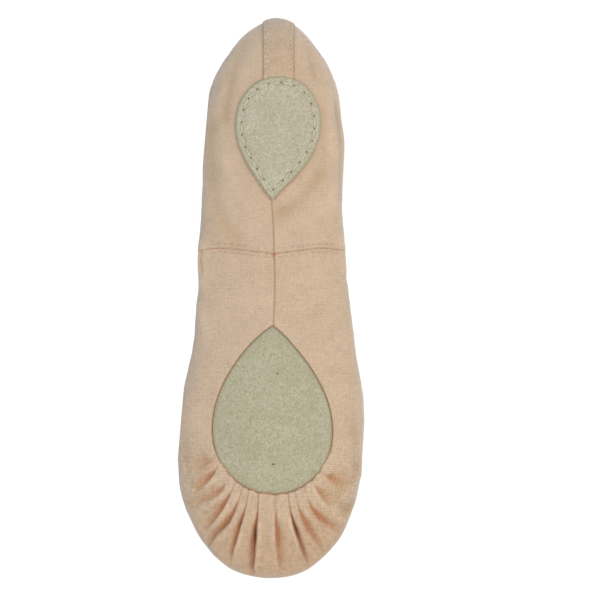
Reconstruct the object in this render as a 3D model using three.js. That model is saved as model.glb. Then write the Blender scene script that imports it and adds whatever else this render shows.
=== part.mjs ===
// A split-sole canvas ballet slipper that lies on its left side, in millimetres with +Z up.
// Its shape is worked out in the slipper's own axes: X from the back of the heel to the toe,
// Y towards the wearer's left and Z from the sole to the instep. The end of the file lays it down.
// Every piece is cut from one last. A spoke of the last starts on the sole's centre line, runs out
// under the sole to the slipper's widest line, and then up the side or over the toes to the topline.
import * as THREE from "three";

// Driving dimensions
const slipperLength = 236; // back of the heel to the tip of the toe
const ballWidth = 78.5; // widest part of the sole view
const heelHeight = 52; // topline above the sole at the back of the heel
const instepHeight = 46.5; // topline above the sole at the throat
const archLift = 3.5; // how far the waist of the sole stands clear of a floor
const canvasWall = 1.4; // canvas and cotton lining together
const suedeThickness = 1.3;
const heelStripWidth = 13;
const heelStripThickness = 0.8;
const bindingWidth = 7; // how far the topline binding reaches down the canvas
const bindingThickness = 0.8;
const insoleThickness = 1.2;
const pleatDepth = 1.9; // deepest toe pleat
const seamRise = 0.45; // step at the waist, where the heel panel laps over the toe panel
const seamLap = 5; // width of the doubled canvas behind that step
const sidePress = 1.2; // how far the floor flattens the two widest places of the side
const fitGap = 0.4; // clearance between two curved pieces

// Shares of the slipper's length, from the back of the heel: where the spokes start to fan out
// round the heel and round the toe, and the lapped seam across the waist
const heelFanAlong = 0.199;
const toeFanAlong = 0.746;
const seamAlong = 0.409;
const insoleReach = 0.66; // share of the way from the centre line to the widest line

// Fineness of the meshes, and how far apart the spokes are at the edge of a piece, in millimetres
const sideSpokes = 22;
const upperLevels = 16;
const patchLevels = 6;
const insoleLevels = 6;
const stripLevels = 13;
const stripColumns = 6;
const patchSideSpacing = 1.8;
const patchToeSpacing = 3;
const bindingSpacing = 1.6;
const insoleSideSpacing = 5;
const insoleToeSpacing = 4;
const leastStep = 0.1; // between two spokes of the side, in rows of the tables
const leastTurn = 0.7; // between two spokes of the toe, in degrees

// Sections from heel to toe, a row for each, in two tables whose rows belong together.
// The widest line: along is a share of the slipper's length. out and sway, the row's shift to the
// left, are shares of half the ball width. girth is its height as a share of the topline's height
// in that row, and keel is the sole's own height on the centre line as a share of the arch lift.
const widestRows = [
  { along: 0, out: 0, sway: -0.045, girth: 0.46, keel: 0 },
  { along: 0.016, out: 0.25, sway: -0.038, girth: 0.46, keel: 0 },
  { along: 0.052, out: 0.452, sway: -0.022, girth: 0.45, keel: 0 },
  { along: 0.11, out: 0.655, sway: -0.015, girth: 0.42, keel: 0 },
  { along: 0.2, out: 0.748, sway: 0, girth: 0.4, keel: 0 },
  { along: 0.3, out: 0.743, sway: 0.01, girth: 0.4, keel: 0.35 },
  { along: 0.4, out: 0.781, sway: 0.01, girth: 0.41, keel: 0.85 },
  { along: 0.5, out: 0.818, sway: -0.01, girth: 0.42, keel: 1 },
  { along: 0.595, out: 0.885, sway: -0.015, girth: 0.43, keel: 0.5 },
  { along: 0.68, out: 0.98, sway: 0, girth: 0.42, keel: 0 },
  { along: 0.75, out: 1, sway: 0.025, girth: 0.4, keel: 0 },
  { along: 0.83, out: 0.976, sway: 0.03, girth: 0.37, keel: 0 },
  { along: 0.89, out: 0.868, sway: 0.03, girth: 0.34, keel: 0 },
  { along: 0.94, out: 0.7, sway: 0.03, girth: 0.32, keel: 0 },
  { along: 0.985, out: 0.4, sway: 0.035, girth: 0.31, keel: 0 },
  { along: 1, out: 0, sway: 0.035, girth: 0.3, keel: 0 },
];
// The topline: rimAlong and rimOut are the same kinds of share, and its height is heelPart heel
// heights and instepPart instep heights. The side between the two lines rises upright for a share
// of their height, then leans over: reach is how flat and dip how low it comes to the topline.
const toplineRows = [
  { rimAlong: 0.02, rimOut: 0, heelPart: 1, instepPart: 0, rise: 0.45, reach: 0.1, dip: 0.4 },
  { rimAlong: 0.028, rimOut: 0.2, heelPart: 1, instepPart: 0, rise: 0.45, reach: 0.1, dip: 0.4 },
  { rimAlong: 0.056, rimOut: 0.36, heelPart: 0.98, instepPart: 0, rise: 0.45, reach: 0.15, dip: 0.4 },
  { rimAlong: 0.11, rimOut: 0.5, heelPart: 0.9, instepPart: 0.045, rise: 0.45, reach: 0.25, dip: 0.4 },
  { rimAlong: 0.19, rimOut: 0.59, heelPart: 0.72, instepPart: 0.17, rise: 0.45, reach: 0.35, dip: 0.4 },
  { rimAlong: 0.28, rimOut: 0.61, heelPart: 0.5, instepPart: 0.345, rise: 0.45, reach: 0.35, dip: 0.4 },
  { rimAlong: 0.37, rimOut: 0.63, heelPart: 0.3, instepPart: 0.51, rise: 0.45, reach: 0.35, dip: 0.4 },
  { rimAlong: 0.455, rimOut: 0.635, heelPart: 0.15, instepPart: 0.65, rise: 0.45, reach: 0.4, dip: 0.38 },
  { rimAlong: 0.53, rimOut: 0.6, heelPart: 0.05, instepPart: 0.765, rise: 0.48, reach: 0.45, dip: 0.32 },
  { rimAlong: 0.588, rimOut: 0.53, heelPart: 0, instepPart: 0.855, rise: 0.5, reach: 0.5, dip: 0.26 },
  { rimAlong: 0.628, rimOut: 0.44, heelPart: 0, instepPart: 0.905, rise: 0.52, reach: 0.52, dip: 0.22 },
  { rimAlong: 0.657, rimOut: 0.345, heelPart: 0, instepPart: 0.94, rise: 0.54, reach: 0.54, dip: 0.19 },
  { rimAlong: 0.676, rimOut: 0.25, heelPart: 0, instepPart: 0.965, rise: 0.55, reach: 0.55, dip: 0.17 },
  { rimAlong: 0.689, rimOut: 0.165, heelPart: 0, instepPart: 0.985, rise: 0.55, reach: 0.55, dip: 0.16 },
  { rimAlong: 0.697, rimOut: 0.08, heelPart: 0, instepPart: 0.996, rise: 0.55, reach: 0.55, dip: 0.15 },
  { rimAlong: 0.7, rimOut: 0, heelPart: 0, instepPart: 1, rise: 0.55, reach: 0.55, dip: 0.15 },
];
const sections = widestRows.map((row, i) => ({ ...row, ...toplineRows[i] }));
const bottomFlatness = 0.7; // how far out the sole stays flat, as a share of its width
const bottomTurn = 0.55; // how late the sole turns up into the side

// The two suede patches, as drops with a round end. tip and end are shares of the slipper's length,
// width and skew, the round end's shift to the left, are shares of the ball width. widest is a
// share of the way from the tip to the end, and a low point number makes the tip blunt.
const forefootDrop = { tip: 0.549, end: 0.85, width: 0.634, widest: 0.615, point: 0.84, skew: 0 };
const heelDrop = { tip: 0.3254, end: 0.1038, width: 0.459, widest: 0.645, point: 1.07, skew: -0.033 };

// One row for each toe pleat: degrees from straight ahead at the toe fan, positive to the left,
// its depth as a share of the deepest, its width in degrees, and where it dies out, as a share of
// the way from the suede patch to the widest line. Its sharp edge is away from the middle pleat,
// and takes some degrees on either side. Pleats deepen over a part of that way.
const middlePleat = 6;
const pleatEdge = 1;
const pleatStart = -0.25;
const pleatFull = 0.5;
const pleatFadeFrom = 0.45; // share of its length over which a pleat stays whole
const pleatFan = 75; // no pleat lies further round than this
const besidePleats = [83, 74, 67, -58, -66, -74, -83]; // spokes beside the pleats, in degrees
const pleats = [
  { at: 60, depth: 0.7, width: 9, fade: 0.85 },
  { at: 42, depth: 0.75, width: 5.5, fade: 0.95 },
  { at: 34, depth: 0.95, width: 5, fade: 1.0 },
  { at: 25, depth: 0.9, width: 5, fade: 1.1 },
  { at: 18, depth: 0.5, width: 4, fade: 0.8 },
  { at: 12, depth: 1.0, width: 5, fade: 1.1 },
  { at: -2, depth: 0.9, width: 5.5, fade: 1.1 },
  { at: -13, depth: 1.0, width: 5, fade: 1.1 },
  { at: -21, depth: 0.8, width: 5, fade: 1.0 },
  { at: -31, depth: 0.9, width: 6, fade: 0.95 },
  { at: -40, depth: 0.7, width: 6, fade: 0.8 },
  { at: -50, depth: 0.75, width: 10, fade: 0.85 },
];

const heelFan = heelFanAlong * slipperLength;
const toeFan = toeFanAlong * slipperLength;
const seamX = seamAlong * slipperLength;

// Catmull-Rom through the rows. Past either end the rows repeat, with their sideways sizes mirrored.
const lastSection = sections.length - 1;
const sideways = ["out", "rimOut"];
function rowValue(index, column) {
  const inside = index < 0 ? -index : index > lastSection ? 2 * lastSection - index : index;
  return (inside !== index && sideways.includes(column) ? -1 : 1) * sections[inside][column];
}
function sectionAt(q) {
  const i = Math.min(Math.floor(q), lastSection - 1);
  const f = q - i;
  const value = (column) => {
    const [a, b, c, d] = [i - 1, i, i + 1, i + 2].map((k) => rowValue(k, column));
    const bend = 2 * a - 5 * b + 4 * c - d + f * (3 * (b - c) + d - a);
    return b + 0.5 * f * (c - a + f * bend);
  };
  return Object.fromEntries(Object.keys(sections[0]).map((column) => [column, value(column)]));
}

// A spoke's place is a number round the slipper: up the left side from heel to toe, back down the right
const wholeLoop = 2 * lastSection;
const spokes = new Map();
function spokeAt(place) {
  const s = ((place % wholeLoop) + wholeLoop) % wholeLoop;
  if (spokes.has(s)) return spokes.get(s);
  const side = s <= lastSection ? 1 : -1;
  const row = sectionAt(side > 0 ? s : wholeLoop - s);
  const half = ballWidth / 2;
  const topline = row.heelPart * heelHeight + row.instepPart * instepHeight;
  const widest = new THREE.Vector3(
    row.along * slipperLength,
    (side * row.out + row.sway) * half,
    row.girth * topline,
  );
  const rim = new THREE.Vector3(
    row.rimAlong * slipperLength,
    (side * row.rimOut + row.sway) * half,
    topline,
  );
  const centre = THREE.MathUtils.clamp(widest.x, heelFan, toeFan);
  const start = new THREE.Vector3(centre, 0, Math.max(row.keel, 0) * archLift);
  const flat = start.clone().lerp(widest, bottomFlatness).setZ(start.z);
  const turn = widest.clone().setZ(widest.z - bottomTurn * (widest.z - start.z));
  const climb = rim.z - widest.z;
  const up = widest.clone().setZ(widest.z + row.rise * climb);
  const over = rim.clone().lerp(widest, row.reach).setZ(rim.z - row.dip * climb);
  const made = {
    place: s,
    start,
    angle: THREE.MathUtils.radToDeg(Math.atan2(widest.y - start.y, widest.x - start.x)),
    under: new THREE.CubicBezierCurve3(start, flat, turn, widest),
    side: new THREE.CubicBezierCurve3(widest, up, over, rim),
  };
  spokes.set(s, made);
  return made;
}

// The bare last: t runs from 0 on the centre line through 1 on the widest line to 2 on the topline
function lastPoint(place, t) {
  const spoke = spokeAt(place);
  return t <= 1 ? spoke.under.getPoint(t) : spoke.side.getPoint(Math.min(t - 1, 1));
}
function planDistance(place, t) {
  const p = lastPoint(place, t);
  const { start } = spokeAt(place);
  return Math.hypot(p.x - start.x, p.y - start.y);
}
function bisect(low, high, isBelow) {
  for (let n = 0; n < 40; n++) {
    const middle = (low + high) / 2;
    if (isBelow(middle)) low = middle;
    else high = middle;
  }
  return low;
}

// The suede drops in plan, grown on all sides by a margin
function insideDrop(drop, p, margin = 0) {
  const toRound = Math.sign(drop.end - drop.tip);
  const tip = drop.tip * slipperLength - toRound * margin;
  const end = drop.end * slipperLength + toRound * margin;
  const share = (p.x - tip) / (end - tip);
  if (share <= 0 || share >= 1) return false;
  const half = (drop.width * ballWidth) / 2 + margin;
  const beyond = Math.max(share - drop.widest, 0) / (1 - drop.widest);
  const taper = Math.sin((Math.PI / 2) * Math.min(share / drop.widest, 1)) ** drop.point;
  return Math.abs(p.y - drop.skew * ballWidth * share) < half * taper * Math.sqrt(1 - beyond * beyond);
}
function dropEdge(drop, place, margin = 0) {
  const { start } = spokeAt(place);
  const reaches = insideDrop(drop, start, margin);
  return reaches ? bisect(0, 1, (t) => insideDrop(drop, lastPoint(place, t), margin)) : 0;
}
const forefootEdges = new Map();
function forefootEdge(place) {
  if (!forefootEdges.has(place)) forefootEdges.set(place, dropEdge(forefootDrop, place));
  return forefootEdges.get(place);
}

// Toe pleats: how deep the folds are across the fan, and along a spoke from the patch to the toe
function pleatRoom(place, t) {
  const edge = forefootEdge(place);
  const { angle, start } = spokeAt(place);
  if (start.x < toeFan - 1e-6 || Math.abs(angle) > pleatFan) return { room: 0, share: 0 };
  const share = (t - edge) / (1 - edge);
  return { room: pleatDepth * THREE.MathUtils.smoothstep(share, pleatStart, pleatFull), share };
}
function foldDepth(pleat, angle, share) {
  const x = (angle - pleat.at) * Math.sign(pleat.at - middlePleat);
  if (x < -pleatEdge || x > pleat.width || share < 0) return 0;
  const steep = (x + pleatEdge) / (2 * pleatEdge);
  const shallow = (pleat.width - x) / (pleat.width - pleatEdge);
  const fading = THREE.MathUtils.smoothstep(share, pleatFadeFrom * pleat.fade, pleat.fade);
  return pleat.depth * Math.min(steep, shallow) * (1 - fading);
}
function relief(place, t) {
  const { room, share } = pleatRoom(place, t);
  const { angle } = spokeAt(place);
  const folds = room ? Math.max(...pleats.map((pleat) => foldDepth(pleat, angle, share))) : 0;
  const behindSeam = seamX - lastPoint(place, t).x;
  const lapped = behindSeam >= 0 && behindSeam <= seamLap ? 1 - behindSeam / seamLap : 0;
  return seamRise * lapped - room * folds;
}

// The floor line that the left side lies on, from the heel's widest place to the ball's, in plan
function lyingLine() {
  const outline = [];
  for (let q = 1; q < lastSection; q += 0.05) outline.push(lastPoint(q, 1));
  const slope = (a, b) => (b.y - a.y) / (b.x - a.x);
  const heelSide = outline.filter((p) => p.x < slipperLength / 2);
  const ballSide = outline.filter((p) => p.x >= slipperLength / 2);
  let ball = ballSide.reduce((a, b) => (b.y > a.y ? b : a));
  let heel = heelSide[0];
  for (let n = 0; n < 4; n++) {
    heel = heelSide.reduce((a, b) => (slope(b, ball) < slope(a, ball) ? b : a));
    ball = ballSide.reduce((a, b) => (slope(heel, b) > slope(heel, a) ? b : a));
  }
  return { heel, tilt: Math.atan(slope(heel, ball)) };
}
const lying = lyingLine();
const floorward = new THREE.Vector3(-Math.sin(lying.tilt), Math.cos(lying.tilt), 0);
const floorDistance = floorward.dot(lying.heel) - sidePress;

// A point of the slipper at a depth below its outer skin, with the side pressed flat by the floor
const probe = 0.01;
function outwardNormal(place, t) {
  if (t < probe) return new THREE.Vector3(0, 0, -1);
  const high = Math.min(t + probe, 2);
  const along = lastPoint(place + probe, t).sub(lastPoint(place - probe, t));
  const out = lastPoint(place, high).sub(lastPoint(place, high - 2 * probe));
  return out.cross(along).normalize();
}
function skin(place, t, depth) {
  const normal = outwardNormal(place, t);
  const p = lastPoint(place, t).addScaledVector(normal, relief(place, t) - depth);
  const past = floorward.dot(p) - (floorDistance - Math.max(depth, 0));
  return past > 0 ? p.addScaledVector(floorward, -past) : p;
}

// Closed solids. The columns of the outer and inner skins hold one point for each level.
function solidFrom(quads) {
  const corners = [];
  const keys = new Map();
  const number = (p) => {
    const key = [p.x, p.y, p.z].map((v) => Math.round(v * 1e4)).join();
    if (!keys.has(key)) {
      keys.set(key, corners.length / 3);
      corners.push(p.x, p.y, p.z);
    }
    return keys.get(key);
  };
  const triangles = [];
  for (const quad of quads) {
    const [a, b, c, d] = quad.map(number);
    for (const face of [[a, b, c], [a, c, d]]) if (new Set(face).size === 3) triangles.push(face);
  }
  const corner = (n) => new THREE.Vector3().fromArray(corners, 3 * n);
  const volume = triangles.reduce((sum, [a, b, c]) => sum + corner(a).dot(corner(b).cross(corner(c))), 0);
  const facingOut = volume > 0 ? triangles : triangles.map(([a, b, c]) => [a, c, b]);
  const geometry = new THREE.BufferGeometry();
  geometry.setAttribute("position", new THREE.Float32BufferAttribute(corners, 3));
  geometry.setIndex(facingOut.flat());
  geometry.computeVertexNormals();
  return geometry;
}
function layered(outer, inner, { round = true, holeAt = () => false } = {}) {
  const quads = [];
  const spans = round ? outer.length : outer.length - 1;
  const top = outer[0].length - 1;
  for (let i = 0; i < spans; i++) {
    const j = (i + 1) % outer.length;
    for (let k = 0; k < top; k++) {
      quads.push([outer[i][k], outer[j][k], outer[j][k + 1], outer[i][k + 1]]);
      quads.push([inner[i][k + 1], inner[j][k + 1], inner[j][k], inner[i][k]]);
    }
    quads.push([outer[i][top], outer[j][top], inner[j][top], inner[i][top]]);
    if (!round || holeAt(i, j)) quads.push([inner[i][0], inner[j][0], outer[j][0], outer[i][0]]);
  }
  for (const [i, turned] of round ? [] : [[0, false], [outer.length - 1, true]]) {
    for (let k = 0; k < top; k++) {
      const wall = [outer[i][k], outer[i][k + 1], inner[i][k + 1], inner[i][k]];
      quads.push(turned ? wall.reverse() : wall);
    }
  }
  return solidFrom(quads);
}
function swept(profiles) {
  const quads = [];
  profiles.forEach((here, i) => {
    const next = profiles[(i + 1) % profiles.length];
    here.forEach((p, k) => {
      const m = (k + 1) % here.length;
      quads.push([p, next[k], next[m], here[m]]);
    });
  });
  return solidFrom(quads);
}
function steps(low, high, count) {
  return Array.from({ length: count + 1 }, (_, k) => low + ((high - low) * k) / count);
}

// The places of the spokes: evenly up the heel and the waist, and at each fold round the toe
const firstToeRow = sections.findIndex((row) => row.along > toeFanAlong);
function placeAtAngle(degrees) {
  const onItsSide = (q) => (degrees < 0 ? wholeLoop - q : q);
  const isWider = (q) => Math.abs(spokeAt(onItsSide(q)).angle) > Math.abs(degrees);
  return onItsSide(bisect(firstToeRow - 1, lastSection, isWider));
}
function toePlaces() {
  const angles = [...besidePleats];
  for (const pleat of pleats) {
    const outward = Math.sign(pleat.at - middlePleat);
    for (const x of [-pleatEdge, pleatEdge, pleat.width]) angles.push(pleat.at + outward * x);
  }
  angles.sort((a, b) => b - a);
  return angles.filter((angle, i) => i === 0 || angles[i - 1] - angle > leastTurn).map(placeAtAngle);
}
function placeAlong(x) {
  return bisect(1, lastSection - 1, (q) => lastPoint(q, 1).x < x);
}
function sidePlaces() {
  const marks = [seamX, seamX + seamRise, seamX - seamLap];
  const tips = [forefootDrop, heelDrop].map((drop) => drop.tip * slipperLength);
  const fixed = [...marks, ...tips].map(placeAlong);
  const even = steps(0, placeAlong(toeFan), sideSpokes + 3).slice(1);
  const free = even.filter((q) => fixed.every((f) => Math.abs(q - f) > leastStep));
  return [...free, ...fixed].sort((a, b) => a - b);
}
const leftSide = sidePlaces();
const toeSide = toePlaces();
const mirrored = (places) => places.map((q) => wholeLoop - q).reverse();
const allPlaces = [0, ...leftSide, ...toeSide, ...mirrored(leftSide)];

// Leaves out spokes that lie closer together than a piece needs at its own edge
function spread(places, apart, edgePoint) {
  const kept = [];
  for (const place of places) {
    if (!kept.length || edgePoint(place).distanceTo(edgePoint(kept.at(-1))) >= apart) kept.push(place);
  }
  return kept;
}
function sheet(places, levels, depth) {
  return places.map((place) => levels(place).map((t) => skin(place, t, depth)));
}

// Upper: one canvas shell, open at the topline and round the forefoot patch
function makeUpper() {
  const levels = (place) => steps(forefootEdge(place), 2, upperLevels);
  const open = (i, j) => forefootEdge(allPlaces[i]) + forefootEdge(allPlaces[j]) > 0;
  return layered(sheet(allPlaces, levels, 0), sheet(allPlaces, levels, canvasWall), { holeAt: open });
}

// A patch: the spokes that it needs, from its tip round and back to its tip
const leastEdge = 0.02; // a spoke that runs under the patch for less than this is left out
function makePatch(drop, edge, inset, outerDepth, innerDepth) {
  const edgePoint = (place) => lastPoint(place, edge(place));
  const inside = leftSide.filter((place) => edge(place) > leastEdge);
  const left = spread(inside, patchSideSpacing, edgePoint);
  const tip = placeAlong(drop.tip * slipperLength + inset);
  const roundHeel = [...mirrored(left), 0, ...left];
  const roundToe = [...left, ...spread(toeSide, patchToeSpacing, edgePoint), ...mirrored(left)];
  const places = [tip, ...(drop.end < drop.tip ? roundHeel : roundToe)];
  const levels = (place) => steps(0, place === tip ? 0 : edge(place), patchLevels);
  return layered(sheet(places, levels, outerDepth), sheet(places, levels, innerDepth));
}
function insetForefootEdge(place) {
  const aim = planDistance(place, forefootEdge(place)) - fitGap;
  return aim > 0 ? bisect(0, 1, (t) => planDistance(place, t) < aim) : 0;
}
const heelPatchEdge = (place) => dropEdge(heelDrop, place);

// Heel strip: tape of an even width from the heel patch up the back to the binding
function placeAcross(y, t) {
  const side = Math.sign(y - lastPoint(0, t).y) || 1;
  return side * bisect(0, 4, (q) => (lastPoint(side * q, t).y - y) * side < 0);
}
const besideTopline = 1.7; // where the strip's columns are sorted, just below the topline
const underHeel = 0.3; // the strip's foot is looked for from here on
function makeHeelStrip() {
  const middle = heelDrop.skew * ballWidth;
  const across = steps(middle - heelStripWidth / 2, middle + heelStripWidth / 2, stripColumns);
  const levels = (y) => {
    const underPatch = (t) => insideDrop(heelDrop, lastPoint(placeAcross(y, t), t), 2 * fitGap);
    const topline = placeAcross(y, besideTopline);
    const top = bindingFoot(topline, bindingWidth + 2 * fitGap);
    return steps(bisect(underHeel, 1, underPatch), top, stripLevels);
  };
  const sheetAt = (depth) => across.map((y) => levels(y).map((t) => skin(placeAcross(y, t), t, depth)));
  return layered(sheetAt(-fitGap - heelStripThickness), sheetAt(-fitGap), { round: false });
}

// Binding: a channel folded over the topline
function bindingFoot(place, reach = bindingWidth) {
  const rim = lastPoint(place, 2);
  return bisect(1, 2, (t) => lastPoint(place, t).distanceTo(rim) > reach);
}
function makeBinding() {
  const places = spread(allPlaces, bindingSpacing, (place) => lastPoint(place, 2));
  const near = fitGap;
  const far = fitGap + bindingThickness;
  return swept(
    places.map((place) => {
      const foot = bindingFoot(place);
      const waist = bindingFoot(place, bindingWidth / 2);
      const up = lastPoint(place, 2).sub(lastPoint(place, 2 - probe)).normalize();
      const raised = (depth, lift) => skin(place, 2, depth).addScaledVector(up, lift);
      return [
        skin(place, foot, -far),
        skin(place, waist, -far),
        raised(-far, near),
        raised(-near, far),
        raised(canvasWall + near, far),
        raised(canvasWall + far, near),
        skin(place, waist, canvasWall + far),
        skin(place, foot, canvasWall + far),
        skin(place, foot, canvasWall + near),
        skin(place, waist, canvasWall + near),
        raised(canvasWall + near, near),
        raised(-near, near),
        skin(place, waist, -near),
        skin(place, foot, -near),
      ];
    }),
  );
}

// Insole: a cotton sock over both patches, with room over the folds of the pleats
function insoleDepth(place, t) {
  const under = Math.max(canvasWall, suedeThickness) + 1.5 * fitGap;
  return under + pleatRoom(place, t).room + relief(place, t);
}
function makeInsole() {
  const reach = (place) => insoleReach * planDistance(place, 1);
  const edge = (place) => bisect(0, 1, (t) => planDistance(place, t) < reach(place));
  const edgePoint = (place) => lastPoint(place, edge(place));
  const left = spread(leftSide, insoleSideSpacing, edgePoint);
  const places = [0, ...left, ...spread(toeSide, insoleToeSpacing, edgePoint), ...mirrored(left)];
  const levels = (place) => steps(0, edge(place), insoleLevels);
  const face = (extra) =>
    places.map((place) =>
      levels(place).map((t) => skin(place, t, insoleDepth(place, t) + extra)),
    );
  return layered(face(0), face(insoleThickness));
}

// Colours and finishes
const canvas = new THREE.MeshStandardMaterial({ color: 0xd3b79b, roughness: 0.9, metalness: 0 });
const strip = new THREE.MeshStandardMaterial({ color: 0xc8ad91, roughness: 0.9, metalness: 0 });
const tape = new THREE.MeshStandardMaterial({ color: 0xcdb196, roughness: 0.85, metalness: 0 });
const suede = new THREE.MeshStandardMaterial({ color: 0xb0ab92, roughness: 1, metalness: 0 });
const heelSuede = new THREE.MeshStandardMaterial({ color: 0xbab59f, roughness: 1, metalness: 0 });
const cotton = new THREE.MeshStandardMaterial({ color: 0xdccfbd, roughness: 0.95, metalness: 0 });

const slipper = new THREE.Group();
function add(name, geometry, material) {
  const mesh = new THREE.Mesh(geometry, material);
  mesh.name = name;
  slipper.add(mesh);
}
add("upper", makeUpper(), canvas);
add("forefoot_patch", makePatch(forefootDrop, insetForefootEdge, 2 * fitGap, 0, suedeThickness), suede);
add("heel_patch", makePatch(heelDrop, heelPatchEdge, 0, -fitGap - suedeThickness, -fitGap), heelSuede);
add("heel_strip", makeHeelStrip(), strip);
add("topline_binding", makeBinding(), tape);
add("insole", makeInsole(), cotton);

// Laid on its left side: the sole faces -Y, the toe points to +X, and the floor is at Z 0
slipper.rotation.set(-Math.PI / 2, 0, -lying.tilt);
slipper.updateMatrixWorld(true);
const box = new THREE.Box3().setFromObject(slipper, true);
const middle = box.getCenter(new THREE.Vector3());
slipper.position.set(-middle.x, -middle.y, -box.min.z);
slipper.updateMatrixWorld(true);

export default slipper;
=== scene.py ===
# A split-sole canvas ballet slipper on its left side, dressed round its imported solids.
# Places and distances on it are millimetres in the slipper's own axes: along from the back of the
# heel to the toe, across towards the wearer's left, and height from the sole to the instep. Wall
# thicknesses, bevels, welds, bump depths, camera and studio are metres.
import bpy
import math
import numpy as np
from mathutils import Matrix, Vector


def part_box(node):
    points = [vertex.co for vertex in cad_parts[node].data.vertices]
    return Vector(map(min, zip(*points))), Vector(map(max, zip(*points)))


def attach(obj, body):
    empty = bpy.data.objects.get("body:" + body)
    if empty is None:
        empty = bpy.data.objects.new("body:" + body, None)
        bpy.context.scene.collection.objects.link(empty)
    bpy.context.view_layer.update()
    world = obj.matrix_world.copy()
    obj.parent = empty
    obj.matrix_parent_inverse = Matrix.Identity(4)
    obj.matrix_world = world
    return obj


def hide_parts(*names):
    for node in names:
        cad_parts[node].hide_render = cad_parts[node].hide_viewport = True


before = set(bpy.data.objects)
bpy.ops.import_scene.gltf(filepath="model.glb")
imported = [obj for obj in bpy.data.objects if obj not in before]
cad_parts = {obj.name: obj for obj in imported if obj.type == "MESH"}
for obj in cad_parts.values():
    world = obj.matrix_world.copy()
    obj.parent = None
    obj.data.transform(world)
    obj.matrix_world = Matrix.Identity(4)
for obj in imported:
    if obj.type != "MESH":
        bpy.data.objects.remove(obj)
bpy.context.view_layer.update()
bpy.ops.object.select_all(action="DESELECT")
print("frame loaded")

# The last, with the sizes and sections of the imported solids. A place is a number round the slipper,
# up the left side from heel to toe and back down the right. t is 0 on the sole's centre line, 1 on
# the widest line and 2 on the topline.
last = {
    "length": 236.0,
    "ballWidth": 78.5,
    "heelHeight": 52.0,
    "instepHeight": 46.5,
    "archLift": 3.5,
    "heelFan": 0.199,
    "toeFan": 0.746,
    "bottomFlatness": 0.7,
    "bottomTurn": 0.55,
    "sidePress": 1.2,
    "probe": 0.01,
}
lastColumns = "along out sway girth keel rimAlong rimOut heelPart instepPart rise reach dip".split()
lastRows = np.array([
    (0.0, 0.0, -0.045, 0.46, 0.0, 0.02, 0.0, 1.0, 0.0, 0.45, 0.1, 0.4),
    (0.016, 0.25, -0.038, 0.46, 0.0, 0.028, 0.2, 1.0, 0.0, 0.45, 0.1, 0.4),
    (0.052, 0.452, -0.022, 0.45, 0.0, 0.056, 0.36, 0.98, 0.0, 0.45, 0.15, 0.4),
    (0.11, 0.655, -0.015, 0.42, 0.0, 0.11, 0.5, 0.9, 0.045, 0.45, 0.25, 0.4),
    (0.2, 0.748, 0.0, 0.4, 0.0, 0.19, 0.59, 0.72, 0.17, 0.45, 0.35, 0.4),
    (0.3, 0.743, 0.01, 0.4, 0.35, 0.28, 0.61, 0.5, 0.345, 0.45, 0.35, 0.4),
    (0.4, 0.781, 0.01, 0.41, 0.85, 0.37, 0.63, 0.3, 0.51, 0.45, 0.35, 0.4),
    (0.5, 0.818, -0.01, 0.42, 1.0, 0.455, 0.635, 0.15, 0.65, 0.45, 0.4, 0.38),
    (0.595, 0.885, -0.015, 0.43, 0.5, 0.53, 0.6, 0.05, 0.765, 0.48, 0.45, 0.32),
    (0.68, 0.98, 0.0, 0.42, 0.0, 0.588, 0.53, 0.0, 0.855, 0.5, 0.5, 0.26),
    (0.75, 1.0, 0.025, 0.4, 0.0, 0.628, 0.44, 0.0, 0.905, 0.52, 0.52, 0.22),
    (0.83, 0.976, 0.03, 0.37, 0.0, 0.657, 0.345, 0.0, 0.94, 0.54, 0.54, 0.19),
    (0.89, 0.868, 0.03, 0.34, 0.0, 0.676, 0.25, 0.0, 0.965, 0.55, 0.55, 0.17),
    (0.94, 0.7, 0.03, 0.32, 0.0, 0.689, 0.165, 0.0, 0.985, 0.55, 0.55, 0.16),
    (0.985, 0.4, 0.035, 0.31, 0.0, 0.697, 0.08, 0.0, 0.996, 0.55, 0.55, 0.15),
    (1.0, 0.0, 0.035, 0.3, 0.0, 0.7, 0.0, 0.0, 1.0, 0.55, 0.55, 0.15),
])
lastSection = len(lastRows) - 1
wholeLoop = 2 * lastSection
heelFan = last["heelFan"] * last["length"]
toeFan = last["toeFan"] * last["length"]
# Outlines of the two suede patches, as shares of length and ball width. They follow the sewn edges
# more closely than those of the solids do, so they lie up to about a millimetre beside them.
forefootDrop = {
    "tip": 0.549, "end": 0.85, "width": 0.646, "widest": 0.615, "point": 0.81,
    "skew": -0.016, "blunt": 2.12, "bow": 0.0095, "bowed": 0.08,
}
heelDrop = {
    "tip": 0.3254, "end": 0.1055, "width": 0.448, "widest": 0.6, "point": 1.02,
    "skew": -0.0135, "blunt": 2.35, "bow": -0.0217, "bowed": 0.22,
}


def smooth(low, high, value):
    share = np.clip((value - low) / (high - low), 0, 1)
    return share * share * (3 - 2 * share)


def hump(away, width, middle=0.0):
    # 1 where away is the middle, fading to 0 on both sides of it
    return np.exp(-(((away - middle) / width) ** 2))


def wayAlong(line):
    # how far along a line of points each point lies
    return np.concatenate([[0], np.linalg.norm(np.diff(line, axis=0), axis=1).cumsum()])


def sectionRows(index):
    inside = np.where(index < 0, -index, np.where(index > lastSection, 2 * lastSection - index, index))
    rows = lastRows[inside].copy()
    turned = inside != index
    for column in ("out", "rimOut"):
        rows[turned, lastColumns.index(column)] *= -1
    return rows


def sectionAt(q):
    i = np.minimum(np.floor(q).astype(int), lastSection - 1)
    f = (q - i)[:, None]
    a, b, c, d = [sectionRows(i + k) for k in (-1, 0, 1, 2)]
    bend = 2 * a - 5 * b + 4 * c - d + f * (3 * (b - c) + d - a)
    values = b + 0.5 * f * (c - a + f * bend)
    return {name: values[:, k] for k, name in enumerate(lastColumns)}


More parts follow.
